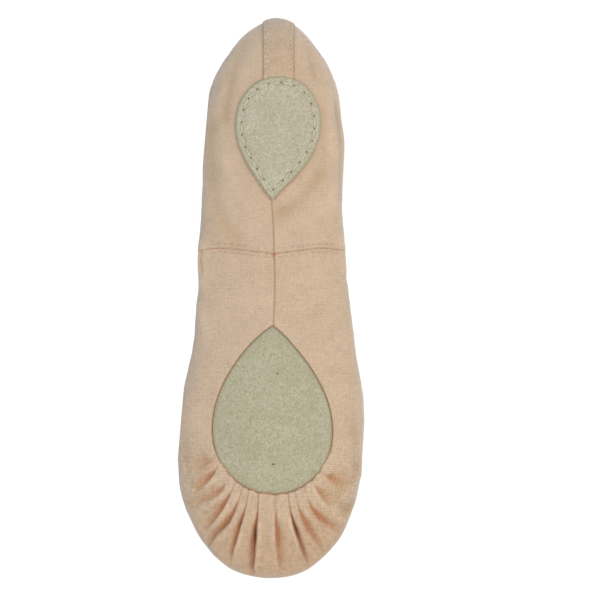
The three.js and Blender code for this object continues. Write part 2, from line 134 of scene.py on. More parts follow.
def spokesAt(place):
    place = np.mod(place, wholeLoop)
    side = np.where(place <= lastSection, 1.0, -1.0)
    row = sectionAt(np.where(side > 0, place, wholeLoop - place))
    half = last["ballWidth"] / 2
    topline = row["heelPart"] * last["heelHeight"] + row["instepPart"] * last["instepHeight"]
    across = (side * row["out"] + row["sway"]) * half
    rimAcross = (side * row["rimOut"] + row["sway"]) * half
    widest = np.stack([row["along"] * last["length"], across, row["girth"] * topline], -1)
    rim = np.stack([row["rimAlong"] * last["length"], rimAcross, topline], -1)
    start = np.zeros_like(widest)
    start[:, 0] = np.clip(widest[:, 0], heelFan, toeFan)
    start[:, 2] = np.maximum(row["keel"], 0) * last["archLift"]
    flat = start + last["bottomFlatness"] * (widest - start)
    flat[:, 2] = start[:, 2]
    turn = widest.copy()
    turn[:, 2] -= last["bottomTurn"] * (widest[:, 2] - start[:, 2])
    climb = rim[:, 2] - widest[:, 2]
    up = widest.copy()
    up[:, 2] += row["rise"] * climb
    over = rim + row["reach"][:, None] * (widest - rim)
    over[:, 2] = rim[:, 2] - row["dip"] * climb
    return start, flat, turn, widest, up, over, rim


def bezier(a, b, c, d, t):
    t = t[:, None]
    s = 1 - t
    return s**3 * a + 3 * s * s * t * b + 3 * s * t * t * c + t**3 * d


def lastPoint(place, t):
    place, t = np.broadcast_arrays(np.asarray(place, float), np.asarray(t, float))
    start, flat, turn, widest, up, over, rim = spokesAt(place.ravel())
    level = t.ravel()
    under = bezier(start, flat, turn, widest, np.clip(level, 0, 1))
    above = bezier(widest, up, over, rim, np.clip(level - 1, 0, 1))
    return np.where((level <= 1)[:, None], under, above).reshape(*place.shape, 3)


def lastNormal(place, t):
    place, t = np.broadcast_arrays(np.asarray(place, float), np.asarray(t, float))
    step = last["probe"]
    high = np.minimum(t + step, 2)
    onward = lastPoint(place + step, t) - lastPoint(place - step, t)
    outward = lastPoint(place, high) - lastPoint(place, high - 2 * step)
    normal = np.cross(outward, onward)
    normal /= np.maximum(np.linalg.norm(normal, axis=-1, keepdims=True), 1e-9)
    normal[t < step] = (0, 0, -1)
    return normal


def bisect(low, high, isBelow, rounds=40):
    low = np.array(low, float)
    high = np.array(high, float)
    for _ in range(rounds):
        middle = (low + high) / 2
        below = isBelow(middle)
        low = np.where(below, middle, low)
        high = np.where(below, high, middle)
    return low


def insideDrop(drop, p, margin=0.0):
    length = last["length"]
    toRound = np.sign(drop["end"] - drop["tip"])
    tip = drop["tip"] * length - toRound * margin
    end = drop["end"] * length + toRound * margin
    share = (p[..., 0] - tip) / (end - tip)
    half = drop["width"] * last["ballWidth"] / 2 + margin
    beyond = np.clip((share - drop["widest"]) / (1 - drop["widest"]), 0, 1)
    taper = np.sin(math.pi / 2 * np.clip(share / drop["widest"], 0, 1)) ** drop["point"]
    bow = drop["bow"] * (1 - np.exp(-((share / drop["bowed"]) ** 2)))
    middle = last["ballWidth"] * (drop["skew"] * share + bow)
    near = np.abs(p[..., 1] - middle) < half * taper * np.sqrt(1 - beyond ** drop["blunt"])
    return near & (share > 0) & (share < 1)


def dropEdge(drop, place, margin=0.0):
    place = np.asarray(place, float)
    reaches = insideDrop(drop, lastPoint(place, 0 * place), margin)
    edge = bisect(0 * place, 0 * place + 1, lambda t: insideDrop(drop, lastPoint(place, t), margin))
    return np.where(reaches, edge, 0.0)


def dropOutline(drop, count=240):
    angle = np.linspace(0, 2 * math.pi, count, endpoint=False)
    heading = np.stack([np.cos(angle), np.sin(angle), 0 * angle], -1)
    middle = 0.5 * (drop["tip"] + drop["end"]) * last["length"]
    centre = np.array([middle, drop["skew"] * last["ballWidth"] / 2, 0])
    farthest = 0 * angle + last["ballWidth"]
    reach = bisect(0 * angle, farthest, lambda r: insideDrop(drop, centre + heading * r[:, None]))
    return (centre + heading * reach[:, None])[:, :2]


def edgeDistance(points, drop):
    outline = dropOutline(drop)
    return lineDistance(points, np.concatenate([outline, outline[:1]]))[0]


def insetOutline(drop, inside):
    # the outline moved inwards by the same distance everywhere, so that it turns a corner before the tip
    outline = dropOutline(drop)
    onward = np.roll(outline, -1, 0) - np.roll(outline, 1, 0)
    inward = np.stack([-onward[:, 1], onward[:, 0]], -1) / np.linalg.norm(onward, axis=1, keepdims=True)
    ring = outline + inside * inward
    return ring[edgeDistance(ring, drop) > inside * 0.98]


def placeAlong(x):
    return float(bisect(1, lastSection - 1, lambda q: lastPoint(q, 1.0)[..., 0] < x))


def lyingLine():
    q = np.arange(1, lastSection, 0.05)
    outline = lastPoint(q, 1.0)
    heelSide = outline[outline[:, 0] < last["length"] / 2]
    ballSide = outline[outline[:, 0] >= last["length"] / 2]
    slope = lambda a, b: (b[..., 1] - a[..., 1]) / (b[..., 0] - a[..., 0])
    ball = ballSide[np.argmax(ballSide[:, 1])]
    for _ in range(4):
        heel = heelSide[np.argmin(slope(heelSide, ball))]
        ball = ballSide[np.argmax(slope(heel, ballSide))]
    return heel, math.atan(slope(heel, ball))


lyingHeel, lyingTilt = lyingLine()
floorward = np.array([-math.sin(lyingTilt), math.cos(lyingTilt), 0])
floorDistance = float(floorward @ lyingHeel) - last["sidePress"]
worldAlong = np.array([math.cos(lyingTilt), math.sin(lyingTilt), 0])
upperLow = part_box("upper")[0]
heelBack = (lastPoint(np.linspace(-2, 2, 161)[:, None], np.linspace(0.9, 1.4, 51)) @ worldAlong).min()
shift = np.array([upperLow.x * 1000 - heelBack, upperLow.y * 1000, floorDistance])


def skin(place, t, depth=0.0, relief=0.0):
    normal = lastNormal(place, t)
    lift = np.broadcast_to(np.asarray(relief - depth, float), normal.shape[:-1])
    p = lastPoint(place, t) + normal * lift[..., None]
    past = p @ floorward - (floorDistance - np.maximum(depth, 0))
    return p - np.maximum(past, 0)[..., None] * floorward


def turnToWorld(v):
    # the wearer's left goes down to the floor, and the sole faces -Y
    return np.stack([v @ worldAlong, v[..., 2], -(v @ floorward)], -1)


def toWorld(p):
    return (turnToWorld(p) + shift) / 1000


# Unrolled cloth: a point's way from the centre line, laid out flat in its own direction
def arcTable(place, steps=160):
    t = np.linspace(0, 2, steps + 1)
    points = lastPoint(np.asarray(place)[:, None], t[None, :])
    way = np.linalg.norm(np.diff(points, axis=1), axis=-1).cumsum(1)
    return t, np.concatenate([np.zeros((len(place), 1)), way], 1)


def unrolled(place, arc):
    start, _, _, widest, _, _, _ = spokesAt(np.asarray(place, float))
    angle = np.arctan2(widest[:, 1] - start[:, 1], widest[:, 0] - start[:, 0])
    heading = np.stack([np.cos(angle), np.sin(angle)], -1)
    return start[:, None, :2] + arc[..., None] * heading[:, None, :], angle


def lineDistance(points, line):
    # distance to a line of points, which side of it, and how far along it, as a share
    line = np.array(line, float)
    legs = np.linalg.norm(np.diff(line, axis=0), axis=1)
    gone = np.concatenate([[0], legs.cumsum()])
    best = np.full(points.shape[:-1], 1e9)
    side = np.zeros_like(best)
    share = np.zeros_like(best)
    for k, leg in enumerate(legs):
        heading = (line[k + 1] - line[k]) / leg
        offset = points - line[k]
        along = offset @ heading
        held = np.clip(along, 0, leg)
        away = np.linalg.norm(offset - held[..., None] * heading, axis=-1)
        nearer = away < best
        best = np.where(nearer, away, best)
        cross = heading[0] * offset[..., 1] - heading[1] * offset[..., 0]
        side = np.where(nearer, np.sign(cross), side)
        share = np.where(nearer, (gone[k] + held) / gone[-1], share)
    return best, side, share


def rounded(line, rounds=2):
    # cuts a given line's corners, and keeps its two ends
    line = np.array(line, float)
    for _ in range(rounds):
        near = 0.75 * line[:-1] + 0.25 * line[1:]
        far = 0.25 * line[:-1] + 0.75 * line[1:]
        line = np.concatenate([line[:1], np.stack([near, far], 1).reshape(-1, line.shape[1]), line[-1:]])
    return line


def drift(points, size, seed, count=7):
    # soft waves of about that size in many directions, most of them within -1 to 1
    rng = np.random.default_rng(seed)
    total = np.zeros(points.shape[:-1])
    for _ in range(count):
        heading = rng.uniform(0, 2 * math.pi)
        wave = 2 * math.pi / (size * rng.uniform(0.7, 1.5))
        phase = rng.uniform(0, 2 * math.pi)
        onward = points[..., 0] * math.cos(heading) + points[..., 1] * math.sin(heading)
        total += np.sin(wave * onward + phase)
    return total / count**0.5 / 1.6


def nearLine(cloth, line, width):
    # 1 on a given line of the cloth, fading to 0 beside it
    return hump(lineDistance(cloth, rounded(line))[0], width)


seeds = {"broad": 3, "fine": 8, "gather": 21, "patch": 5, "tape": 11, "pucker": 17, "insole": 31}


# Camera: straight at the sole, rolled so that the toe points down as in the picture
camera = {
    "distance": 3.0,
    "pictureWidth": 0.2533,
    "aim": (118.6, -11.6, 17.0),
    "sensor": 36.0,
    "clipEnd": 60.0,
}


def addCamera():
    aim = toWorld(np.array(camera["aim"]))
    bpy.ops.object.camera_add()
    eye = bpy.context.object
    eye.name = "Camera"
    eye.data.sensor_width = camera["sensor"]
    eye.data.lens = camera["sensor"] * camera["distance"] / camera["pictureWidth"]
    eye.data.clip_end = camera["clipEnd"]
    right, up, back = turnToWorld(np.array([(0.0, -1.0, 0.0), (-1.0, 0.0, 0.0), (0.0, 0.0, -1.0)]))
    spot = aim + back * camera["distance"]
    eye.matrix_world = Matrix([*np.stack([right, up, back, spot], 1).tolist(), (0, 0, 0, 1)])
    bpy.context.scene.camera = eye


addCamera()
bpy.context.scene.view_settings.view_transform = "Standard"
print("camera set")


# Shader helpers
def paint(red, green, blue):
    # a colour as it looks on a screen, 0 to 255
    shares = [v / 255 for v in (red, green, blue)]
    return tuple(v / 12.92 if v <= 0.04045 else ((v + 0.055) / 1.055) ** 2.4 for v in shares) + (1.0,)


def plug(tree, node, sockets):
    # links what comes out of another node, and sets everything else as a value
    for name, value in sockets.items():
        if isinstance(value, bpy.types.NodeSocket):
            tree.links.new(value, node.inputs[name])
        else:
            node.inputs[name].default_value = value
    return node


def put(tree, kind, sockets=None, **settings):
    node = tree.nodes.new(kind)
    for name, value in settings.items():
        setattr(node, name, value)
    return plug(tree, node, sockets or {})


def calc(tree, operation, a, b=0.0, c=0.0):
    return put(tree, "ShaderNodeMath", {0: a, 1: b, 2: c}, operation=operation).outputs[0]


def blendColours(tree, factor, a, b, mode="MIX"):
    sockets = {0: factor, 6: a, 7: b}
    return put(tree, "ShaderNodeMix", sockets, data_type="RGBA", blend_type=mode).outputs[2]


def ramp(tree, value, low, high, first=0.0, second=1.0):
    sockets = {0: value, 1: low, 2: high, 3: first, 4: second}
    return put(tree, "ShaderNodeMapRange", sockets, clamp=True, interpolation_type="SMOOTHSTEP").outputs[0]


def nodeGroup(name, takes, gives):
    tree = bpy.data.node_groups.new(name, "ShaderNodeTree")
    for label, kind in takes:
        tree.interface.new_socket(name=label, in_out="INPUT", socket_type=kind)
    for label, kind in gives:
        tree.interface.new_socket(name=label, in_out="OUTPUT", socket_type=kind)
    return tree, tree.nodes.new("NodeGroupInput").outputs, tree.nodes.new("NodeGroupOutput").inputs


def place(tree, group, **sockets):
    node = tree.nodes.new("ShaderNodeGroup")
    node.node_tree = group
    return plug(tree, node, sockets).outputs


def newMaterial(name):
    material = bpy.data.materials.new(name)
    material.use_nodes = True
    tree = material.node_tree
    return material, tree, tree.nodes["Principled BSDF"]


def attribute(tree, name):
    return put(tree, "ShaderNodeAttribute", attribute_name=name).outputs["Fac"]


def objectSpot(tree):
    return put(tree, "ShaderNodeTexCoord").outputs["Object"]


def dressShader(tree, shader, base, finish, height=None):
    # colour, bump and the finish's own constants go straight into the material's shader
    tree.links.new(base, shader.inputs["Base Color"])
    if height is not None:
        sockets = {"Height": height, "Distance": finish["bump"], "Strength": finish["bumpStrength"]}
        tree.links.new(put(tree, "ShaderNodeBump", sockets).outputs[0], shader.inputs["Normal"])
    for socket, value in finish["shader"].items():
        shader.inputs[socket].default_value = value


vector, number, colour = "NodeSocketVector", "NodeSocketFloat", "NodeSocketColor"


# Over and under threads in rows, with thick and thin places along both
weave = {
    "wanderScale": 0.35, "wander": 0.5, "weft": 0.8, "warp": 0.4, "knuckle": 0.5,
    "patchScale": 0.13, "patch": (0.35, 0.62), "faint": 0.45, "strong": 1.2,
    "slubStretch": [(0.3, 1.2, 1.0), (1.2, 0.3, 1.0)],
}


def makePlainWeave():
    tree, takes, gives = nodeGroup(
        "plainWeave",
        [("Cloth", vector), ("Pitch", number), ("Slub", number)],
        [("Height", number)],
    )
    cloth = takes["Cloth"]
    sockets = {"Vector": cloth, "Scale": weave["wanderScale"], "Detail": 2.0}
    moved = put(tree, "ShaderNodeTexNoise", sockets).outputs["Color"]
    for operation, sockets in (
        ("SUBTRACT", {1: (0.5, 0.5, 0.5)}), ("SCALE", {"Scale": weave["wander"]}), ("ADD", {1: cloth}),
    ):
        moved = put(tree, "ShaderNodeVectorMath", {0: moved, **sockets}, operation=operation).outputs[0]
    split = put(tree, "ShaderNodeSeparateXYZ", {0: moved}).outputs
    turns = calc(tree, "DIVIDE", 2 * math.pi, takes["Pitch"])
    warp, weft = [calc(tree, "SINE", calc(tree, "MULTIPLY", split[k], turns)) for k in (0, 1)]
    knuckle = calc(tree, "MULTIPLY", calc(tree, "MULTIPLY_ADD", weft, weave["weft"], weave["warp"]), warp)
    patchy = put(tree, "ShaderNodeTexNoise", {"Vector": cloth, "Scale": weave["patchScale"], "Detail": 2.0})
    strength = ramp(tree, patchy.outputs["Fac"], *weave["patch"], weave["faint"], weave["strong"])
    knuckle = calc(tree, "MULTIPLY", knuckle, strength)
    slubs = []
    for stretch in weave["slubStretch"]:
        spun = put(tree, "ShaderNodeMapping", {"Vector": cloth, "Scale": stretch}).outputs[0]
        sockets = {"Vector": spun, "Scale": 1.0, "Detail": 3.0, "Roughness": 0.75}
        slub = put(tree, "ShaderNodeTexNoise", sockets).outputs["Fac"]
        slubs.append(calc(tree, "SUBTRACT", slub, 0.5))
    slub = calc(tree, "MULTIPLY", calc(tree, "ADD", *slubs), takes["Slub"])
    raised = calc(tree, "ADD", calc(tree, "MULTIPLY", knuckle, weave["knuckle"]), slub)
    tree.links.new(raised, gives["Height"])
    return tree


def makeSoftPatches():
    # slow changes of tone over a piece, about 1 on the average
    tree, takes, gives = nodeGroup(
        "softPatches",
        [("Vector", vector), ("Scale", number), ("Amount", number)],
        [("Tone", number)],
    )
    sockets = {"Vector": takes["Vector"], "Scale": takes["Scale"], "Detail": 4.0}
    noise = put(tree, "ShaderNodeTexNoise", sockets)
    centred = calc(tree, "SUBTRACT", noise.outputs["Fac"], 0.5)
    tree.links.new(calc(tree, "ADD", calc(tree, "MULTIPLY", centred, takes["Amount"]), 1.0), gives["Tone"])
    return tree


# Short brushed fibres, with clumps and a few pale flecks
napFibres = {
    "stretch": (0.6, 1.0, 1.0), "roughness": 0.65, "clumpScale": 0.3, "clumps": 0.4,
    "tone": (0.5, 0.9), "fleck": (0.6, 0.72),
}


def makeNap():
    tree, takes, gives = nodeGroup(
        "suedeNap",
        [("Vector", vector), ("Scale", number)],
        [("Height", number), ("Tone", number), ("Fleck", number)],
    )
    sockets = {"Vector": takes["Vector"], "Scale": napFibres["stretch"]}
    fibre = put(tree, "ShaderNodeMapping", sockets).outputs[0]
    sockets = {"Vector": fibre, "Scale": takes["Scale"], "Detail": 3.0, "Roughness": napFibres["roughness"]}
    fine = put(tree, "ShaderNodeTexNoise", sockets).outputs["Fac"]
    coarser = calc(tree, "MULTIPLY", takes["Scale"], napFibres["clumpScale"])
    sockets = {"Vector": takes["Vector"], "Scale": coarser, "Detail": 3.0}
    clump = put(tree, "ShaderNodeTexNoise", sockets).outputs["Fac"]
    both = calc(tree, "MULTIPLY_ADD", clump, napFibres["clumps"], fine)
    tree.links.new(both, gives["Height"])
    tree.links.new(ramp(tree, both, *napFibres["tone"]), gives["Tone"])
    tree.links.new(ramp(tree, fine, *napFibres["fleck"]), gives["Fleck"])
    return tree


plainWeave = makePlainWeave()
softPatches = makeSoftPatches()
suedeNap = makeNap()


def patchTone(tree, finish):
    sockets = {"Vector": objectSpot(tree), "Scale": finish["patchScale"], "Amount": finish["patchAmount"]}
    return place(tree, softPatches, **sockets)["Tone"]


# Canvas of the upper. Its cloth is laid out three ways: under the sole, round the walls and on the vamp.
clothLayers = ("soleCloth", "wallCloth", "vampCloth")
canvas = {
    "cloth": paint(210, 181, 150),
    # hollow: painted shade in the troughs of the soft folds; crown: painted highlight on their ridges and
    # on the pleats' raised edges
    "hollowShade": paint(190, 158, 121),
    "crown": paint(222, 191, 159),
    # toe: the toe painted darker as shade, and the painted shade beside the pleats
    "toe": paint(199, 162, 126),
    # foldShade and deepFoldShade: painted shade in the pleat valleys and under the gathered front edge
    "foldShade": paint(189, 132, 92),
    "deepFoldShade": paint(100, 46, 26),
    # seam: dark seam lines, with painted shade in the left crease and along the edges of both patches and
    # the heel tape
    "seam": paint(176, 122, 78),
    "pitch": 0.95,
    "slub": 1.7,
    "tone": 0.3,
    "folded": (0.0, 0.55),
    "foldedDeep": (0.5, 1.1),
    "patchScale": 60.0,
    "patchAmount": 0.5,
    "bump": 0.00022,
    "bumpStrength": 0.8,
    "shader": {
        "Roughness": 0.92, "Specular IOR Level": 0.15, "Sheen Weight": 0.65, "Sheen Roughness": 0.4,
        "Sheen Tint": paint(214, 222, 226),
    },
}


def clothHeight(tree, finish):
    height = None
    for layer, share in zip(clothLayers, (None, "wallShare", "vampShare")):
        cloth = put(tree, "ShaderNodeUVMap", uv_map=layer).outputs[0]
        woven = place(tree, plainWeave, Cloth=cloth, Pitch=finish["pitch"], Slub=finish["slub"])["Height"]
        if share:
            sockets = {0: attribute(tree, share), 2: height, 3: woven}
            woven = put(tree, "ShaderNodeMix", sockets).outputs[0]
        height = woven
    return height


def makeCanvas(name, finish):
    material, tree, shader = newMaterial(name)
    height = clothHeight(tree, finish)
    patches = calc(tree, "SUBTRACT", patchTone(tree, finish), 1.0)
    shade = calc(tree, "ADD", attribute(tree, "shade"), patches)
    foldShade = attribute(tree, "foldShade")
    base = finish["cloth"]
    for factor, tint in (
        # the toe painted darker as shade, and painted shade beside the pleats
        (attribute(tree, "toeShade"), "toe"),
        # painted shade in the troughs and painted highlight on the ridges, from the shade attribute
        (ramp(tree, shade, 0.0, 1.0), "hollowShade"),
        (ramp(tree, shade, 0.0, -1.0), "crown"),
        # dark seam lines, and painted shade in a crease and along edges
        (attribute(tree, "seamLinesAndShade"), "seam"),
        # painted shade in the pleat valleys
        (ramp(tree, foldShade, *finish["folded"]), "foldShade"),
        (ramp(tree, foldShade, *finish["foldedDeep"]), "deepFoldShade"),
    ):
        base = blendColours(tree, factor, base, finish[tint])
    woven = calc(tree, "MULTIPLY_ADD", attribute(tree, "coarse"), finish["tone"], finish["tone"])
    tone = calc(tree, "MULTIPLY_ADD", height, woven, 1.0)
    toned = put(tree, "ShaderNodeCombineColor", {0: tone, 1: tone, 2: tone}).outputs[0]
    dressShader(tree, shader, blendColours(tree, 1.0, base, toned, "MULTIPLY"), finish, height)
    return material


# Sewn meshes
def pick(piece):
    bpy.ops.object.select_all(action="DESELECT")
    piece.select_set(True)
    bpy.context.view_layer.objects.active = piece


def onAll(piece, operation, **settings):
    # a mesh operation on all vertices of a piece
    pick(piece)
    bpy.ops.object.mode_set(mode="EDIT")
    bpy.ops.mesh.select_all(action="SELECT")
    operation(**settings)
    bpy.ops.object.mode_set(mode="OBJECT")


def clothGrid(name, points, layers, masks=None, weld=0.000005):
    # a grid of cloth whose columns and rows are moved to their places on the last
    columns, rows = points.shape[:2]
    bpy.ops.object.select_all(action="DESELECT")
    bpy.ops.mesh.primitive_grid_add(x_subdivisions=columns - 1, y_subdivisions=rows - 1, size=1)
    piece = bpy.context.object
    piece.name = name
    mesh = piece.data
    mesh.name = name
    flat = np.empty(len(mesh.vertices) * 3)
    mesh.vertices.foreach_get("co", flat)
    flat = flat.reshape(-1, 3)
    column = np.rint((flat[:, 0] + 0.5) * (columns - 1)).astype(int)
    row = np.rint((flat[:, 1] + 0.5) * (rows - 1)).astype(int)
    mesh.vertices.foreach_set("co", toWorld(points)[column, row].ravel())
    corner = np.empty(len(mesh.loops), int)
    mesh.loops.foreach_get("vertex_index", corner)
    for layer in list(mesh.uv_layers):
        mesh.uv_layers.remove(layer)
    for layer, values in layers.items():
        laid = values[column, row][corner]
        mesh.uv_layers.new(name=layer).data.foreach_set("uv", laid.ravel())
    for mask, values in (masks or {}).items():
        mesh.attributes.new(mask, "FLOAT", "POINT").data.foreach_set("value", values[column, row])
    mesh.update()
    onAll(piece, bpy.ops.mesh.remove_doubles, threshold=weld)
    return piece


def faceOutward(piece, isOutward):
    # turns all faces round where most of them look the wrong way
    mesh = piece.data
    mesh.update()
    centres = np.array([f.center for f in mesh.polygons])
    normals = np.array([f.normal for f in mesh.polygons])
    areas = np.array([f.area for f in mesh.polygons])
    if (isOutward(centres, normals) * areas).sum() < 0:
        onAll(piece, bpy.ops.mesh.flip_normals)


def awayFromSole(centres, normals):
    inside = np.array([0.0, 0.0, 0.034])
    return ((centres - inside) * normals).sum(1)


def facesSole(centres, normals):
    return -normals[:, 1]


def addModifier(piece, kind, **settings):
    pick(piece)
    bpy.ops.object.modifier_add(type=kind)
    modifier = piece.modifiers[-1]
    for name, value in settings.items():
        setattr(modifier, name, value)
    bpy.ops.object.modifier_apply(modifier=modifier.name)


def thicken(piece, thickness, bevel=None, offset=-1):
    addModifier(piece, "SOLIDIFY", thickness=thickness, offset=offset, use_quality_normals=True)
    if bevel:
        addModifier(piece, "BEVEL", width=bevel, segments=2, limit_method="ANGLE",
                    angle_limit=math.radians(55))


def sew(piece, slotName, *nodes):
    pick(piece)
    bpy.ops.object.shade_smooth_by_angle(angle=math.radians(50))
    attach(piece, "root")
    if nodes:
        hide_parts(*nodes)


# The upper. Columns are closer at the toe, at the seam and at the patch's tip, and rows at the centre line.
upper = {
    "wall": 0.0014,
    "columnGaps": {"side": 1.9, "toe": 0.62, "seam": 0.4, "tip": 0.6},
    "samples": 4001,
    "beforeToe": 10.0,
    "tipReach": (-2.0, 10.0),
    "seamAlong": 98.0,
    "seamReach": 4.0,
    "firstRows": (0, 0.2, 0.4, 0.6, 0.8, 1.0, 1.25, 1.55, 1.9, 2.3, 2.8, 3.4, 4.1),
    "evenRows": 76,
    "wallLevels": (0.8, 1.05),
    "vampLevels": (1.3, 1.55),
    "vampTurn": (88, 60),
}
# The lapped seam across the waist and the sewn seam along the centre line, along and across
archSeam = {
    "line": [(98.6, 60), (97.9, 32), (96.8, 26), (96.8, 20), (97.4, 13), (98.2, 8.5), (98.4, 4), (99.3, 0),
             (98.7, -3), (98.1, -9), (97.3, -14), (96.8, -20), (96.9, -26), (97.9, -32), (98.6, -60)],
    "rise": 0.3,
    "fades": (27, 33),
    "fading": 0.7,
    "lap": 5.0,
    "groove": 0.4,
    "grooveWidth": 0.4,
    "rows": 1.6,
    "dimple": 0.14,
    "dimpleWidth": 0.5,
    "tone": 0.62,
    "lineWidth": 0.25,
}
centreSeam = {
    "line": [(74, 0.6), (78, 0.3), (86.6, -0.4), (98.8, -0.7), (111.5, -1.1), (123.7, -0.7), (132, -0.2)],
    "groove": 0.4,
    "grooveWidth": 0.36,
    "shoulder": 0.16,
    "shoulderWidth": 2.2,
    "tone": 0.62,
    "lineWidth": 0.3,
}
# A short crease beside the left edge, just toeward of the lapped seam, with painted shade along it
leftCrease = {
    "line": [(98.0, 31.0), (102.5, 31.3), (107.5, 30.8)], "depth": 0.5, "width": 0.5, "tone": 0.55,
}
# The canvas edge that is turned in round the forefoot patch. It stands higher where it is gathered, and a
# painted shadow line runs along it, darkest at the gathered front.
turnedEdge = {
    "roll": 0.9, "rollPower": 2.2, "drop": 1.1, "puff": 0.25, "gathered": 0.65, "puffWidth": 4.5,
    "frontTurn": (80, 40), "frontAlong": (176, 190), "tone": 0.85, "lineWidth": 0.42, "lineReach": 1.3,
    "frontShadow": 0.72, "frontReach": 1.5, "overlap": 0.45, "scallop": 0.45, "scallopFrom": (0.4, 2.4),
    "scallopAlong": (180, 190),
}
# The heel patch is pulled down into the canvas, with a dark line of painted shadow round its front part
heelEdge = {"dip": 0.25, "dipWidth": 1.6, "tone": 0.5, "lineWidth": 0.6, "fades": (40, 56)}
# Toe pleats: line, depth, how far each opens to its left and to its right, and the strength of its painted
# shade
pleatRows = [
    ([(183.6, 23.2), (185.6, 25.0), (187.4, 28.6), (188.4, 31.4)], 0.8, 2.2, 1.2, 0.2),
    ([(186.0, 21.9), (190.3, 23.6), (193.6, 26.4), (196.7, 29.3), (198.8, 31.8)], 1.2, 2.6, 0.6, 0.5),
    ([(191.3, 17.9), (195.4, 19.2), (199.4, 21.9), (202.5, 26.2), (204.2, 31.6)], 1.0, 2.6, 0.8, 0.38),
    ([(195.1, 15.5), (199.2, 17.0), (201.7, 18.5), (205.8, 20.6), (209.7, 23.5), (214.4, 27.4)],
     1.7, 2.2, 0.5, 0.62),
    ([(196.7, 12.5), (201.3, 13.8), (206.7, 15.7), (210.8, 17.6), (214.2, 20.2), (216.8, 23.5),
      (219.8, 25.4), (222.8, 27.0)], 1.9, 2.1, 0.5, 0.74),
    ([(198.3, 9.9), (204.8, 11.0), (210.1, 12.5), (215.3, 14.0), (220.3, 15.5), (224.8, 16.8),
      (229.0, 17.9)], 1.9, 1.6, 0.5, 0.8),
    ([(199.6, 5.9), (208.6, 6.1), (213.6, 6.8), (219.3, 7.1), (225.8, 7.5), (235.0, 8.2)],
     2.6, 2.3, 0.4, 1.0),
    ([(200.8, -1.3), (209.4, -1.2), (216.1, -1.4), (221.2, -1.7), (233.0, -3.4)], 1.9, 0.4, 3.0, 0.56),
    ([(200.2, -6.4), (207.5, -7.6), (213.7, -9.3), (219.6, -11.2), (224.6, -12.9), (229.6, -15.3)],
     2.3, 0.9, 1.1, 0.93),
    ([(199.3, -9.7), (205.3, -10.8), (210.7, -13.2), (216.0, -16.1), (220.3, -19.2), (223.8, -21.4)],
     1.6, 1.4, 1.6, 0.56),
    ([(198.0, -13.7), (202.7, -15.3), (206.0, -16.8), (208.3, -18.5), (211.8, -22.0), (213.6, -24.7),
      (215.2, -28.6)], 1.6, 1.4, 1.6, 0.6),
    ([(194.2, -16.8), (197.2, -18.3), (201.4, -20.9), (204.6, -24.0)], 1.0, 0.9, 2.2, 0.4),
    ([(190.6, -20.0), (192.8, -23.0), (194.8, -26.6), (196.0, -30.0)], 1.0, 1.4, 2.8, 0.4),
]
pleats = {
    "line": 0.3, "lineTone": 0.45, "lineDepth": 0.2, "opens": (0.18, 0.55), "darkens": (0.15, 0.45),
    "pales": (0.42, 0.85), "leftAtEnd": 0.36, "ends": (0.8, 1.0), "valley": 1.25, "bead": 0.45,
    "beadAway": 1.5, "beadWidth": 1.1, "beadEnds": (0.6, 0.95), "softer": 1.3, "tucked": 2.5, "tail": 3.0,
    "shadeReach": 2.2, "darkCore": 0.05, "crispCore": 0.45, "darkTo": 1.15,
}
# Soft folds of the canvas: line, height of the ridge or, below 0, depth of the trough, and half width. The
# same heights paint shade into the troughs and a highlight onto the ridges.
softFolds = [
    ([(50, 22), (60, 20.3), (72, 15.3), (82, 8)], 0.4, 3.2),
    ([(45, 28), (59.5, 27.2), (73, 25.2), (86.5, 19.5), (94, 15)], -0.5, 4.2),
    ([(66, -20.5), (73, -16), (78.5, -9.5), (81.5, -3.4)], -0.65, 3.4),
    ([(74, -24), (82, -19), (90, -14)], 0.4, 4.0),
    ([(30, -25.5), (52, -27.2), (78, -27.5)], 0.7, 2.6),
    ([(34, -30), (56, -31.5), (76, -31)], -0.6, 3.0),
    ([(96, 31), (103, 32.5), (111, 31.5)], 0.8, 3.0),
    ([(93, -31), (101, -32.5), (107, -32)], 0.7, 3.0),
    ([(107, -29), (109, -33), (110, -38)], -0.4, 1.6),
    ([(135, 28), (128, 31), (120, 33)], 0.5, 4.0),
    ([(150, 32), (160, 32.5), (172, 31)], 0.4, 3.0),
    ([(172, 38), (182, 38.5), (191, 36)], -0.4, 2.6),
    ([(203, 29), (205.5, 34), (206, 40)], -0.6, 2.4),
    ([(201, -25), (206, -30), (209, -36)], -0.7, 2.4),
    ([(168, -36), (178, -37), (188, -36)], -0.5, 3.0),
    ([(199, -30), (195, -36), (189, -40)], -0.7, 3.0),
    ([(208, -33), (205, -38), (200, -43)], -0.8, 3.6),
    ([(203, 36), (199, 42), (190, 48)], -0.35, 4.0),
    ([(8, 12.5), (20, 17.4), (31, 19.6), (42, 20.4)], -0.55, 2.8),
    ([(26, 22), (34, 24)], 0.4, 3.0),
    ([(44, -24.2), (60, -25.4)], 0.35, 1.2),
    ([(34, -21), (52, -22.5), (66, -26)], -0.4, 3.4),
    ([(9, -19), (24, -23)], 0.4, 2.4),
    ([(8, -15.5), (24, -18.8)], -0.5, 2.0),
    ([(70, 44), (84, 52), (92, 62)], -0.7, 5.0),
    ([(104, 44), (118, 54), (124, 64)], -0.8, 6.0),
    ([(70, -44), (86, -52), (96, -62)], -0.7, 5.0),
    ([(108, -46), (122, -56), (130, -66)], -0.8, 6.0),
    ([(140, 50), (156, 58), (170, 70)], -0.6, 7.0),
    ([(140, -50), (156, -58), (172, -70)], -0.6, 7.0),
]
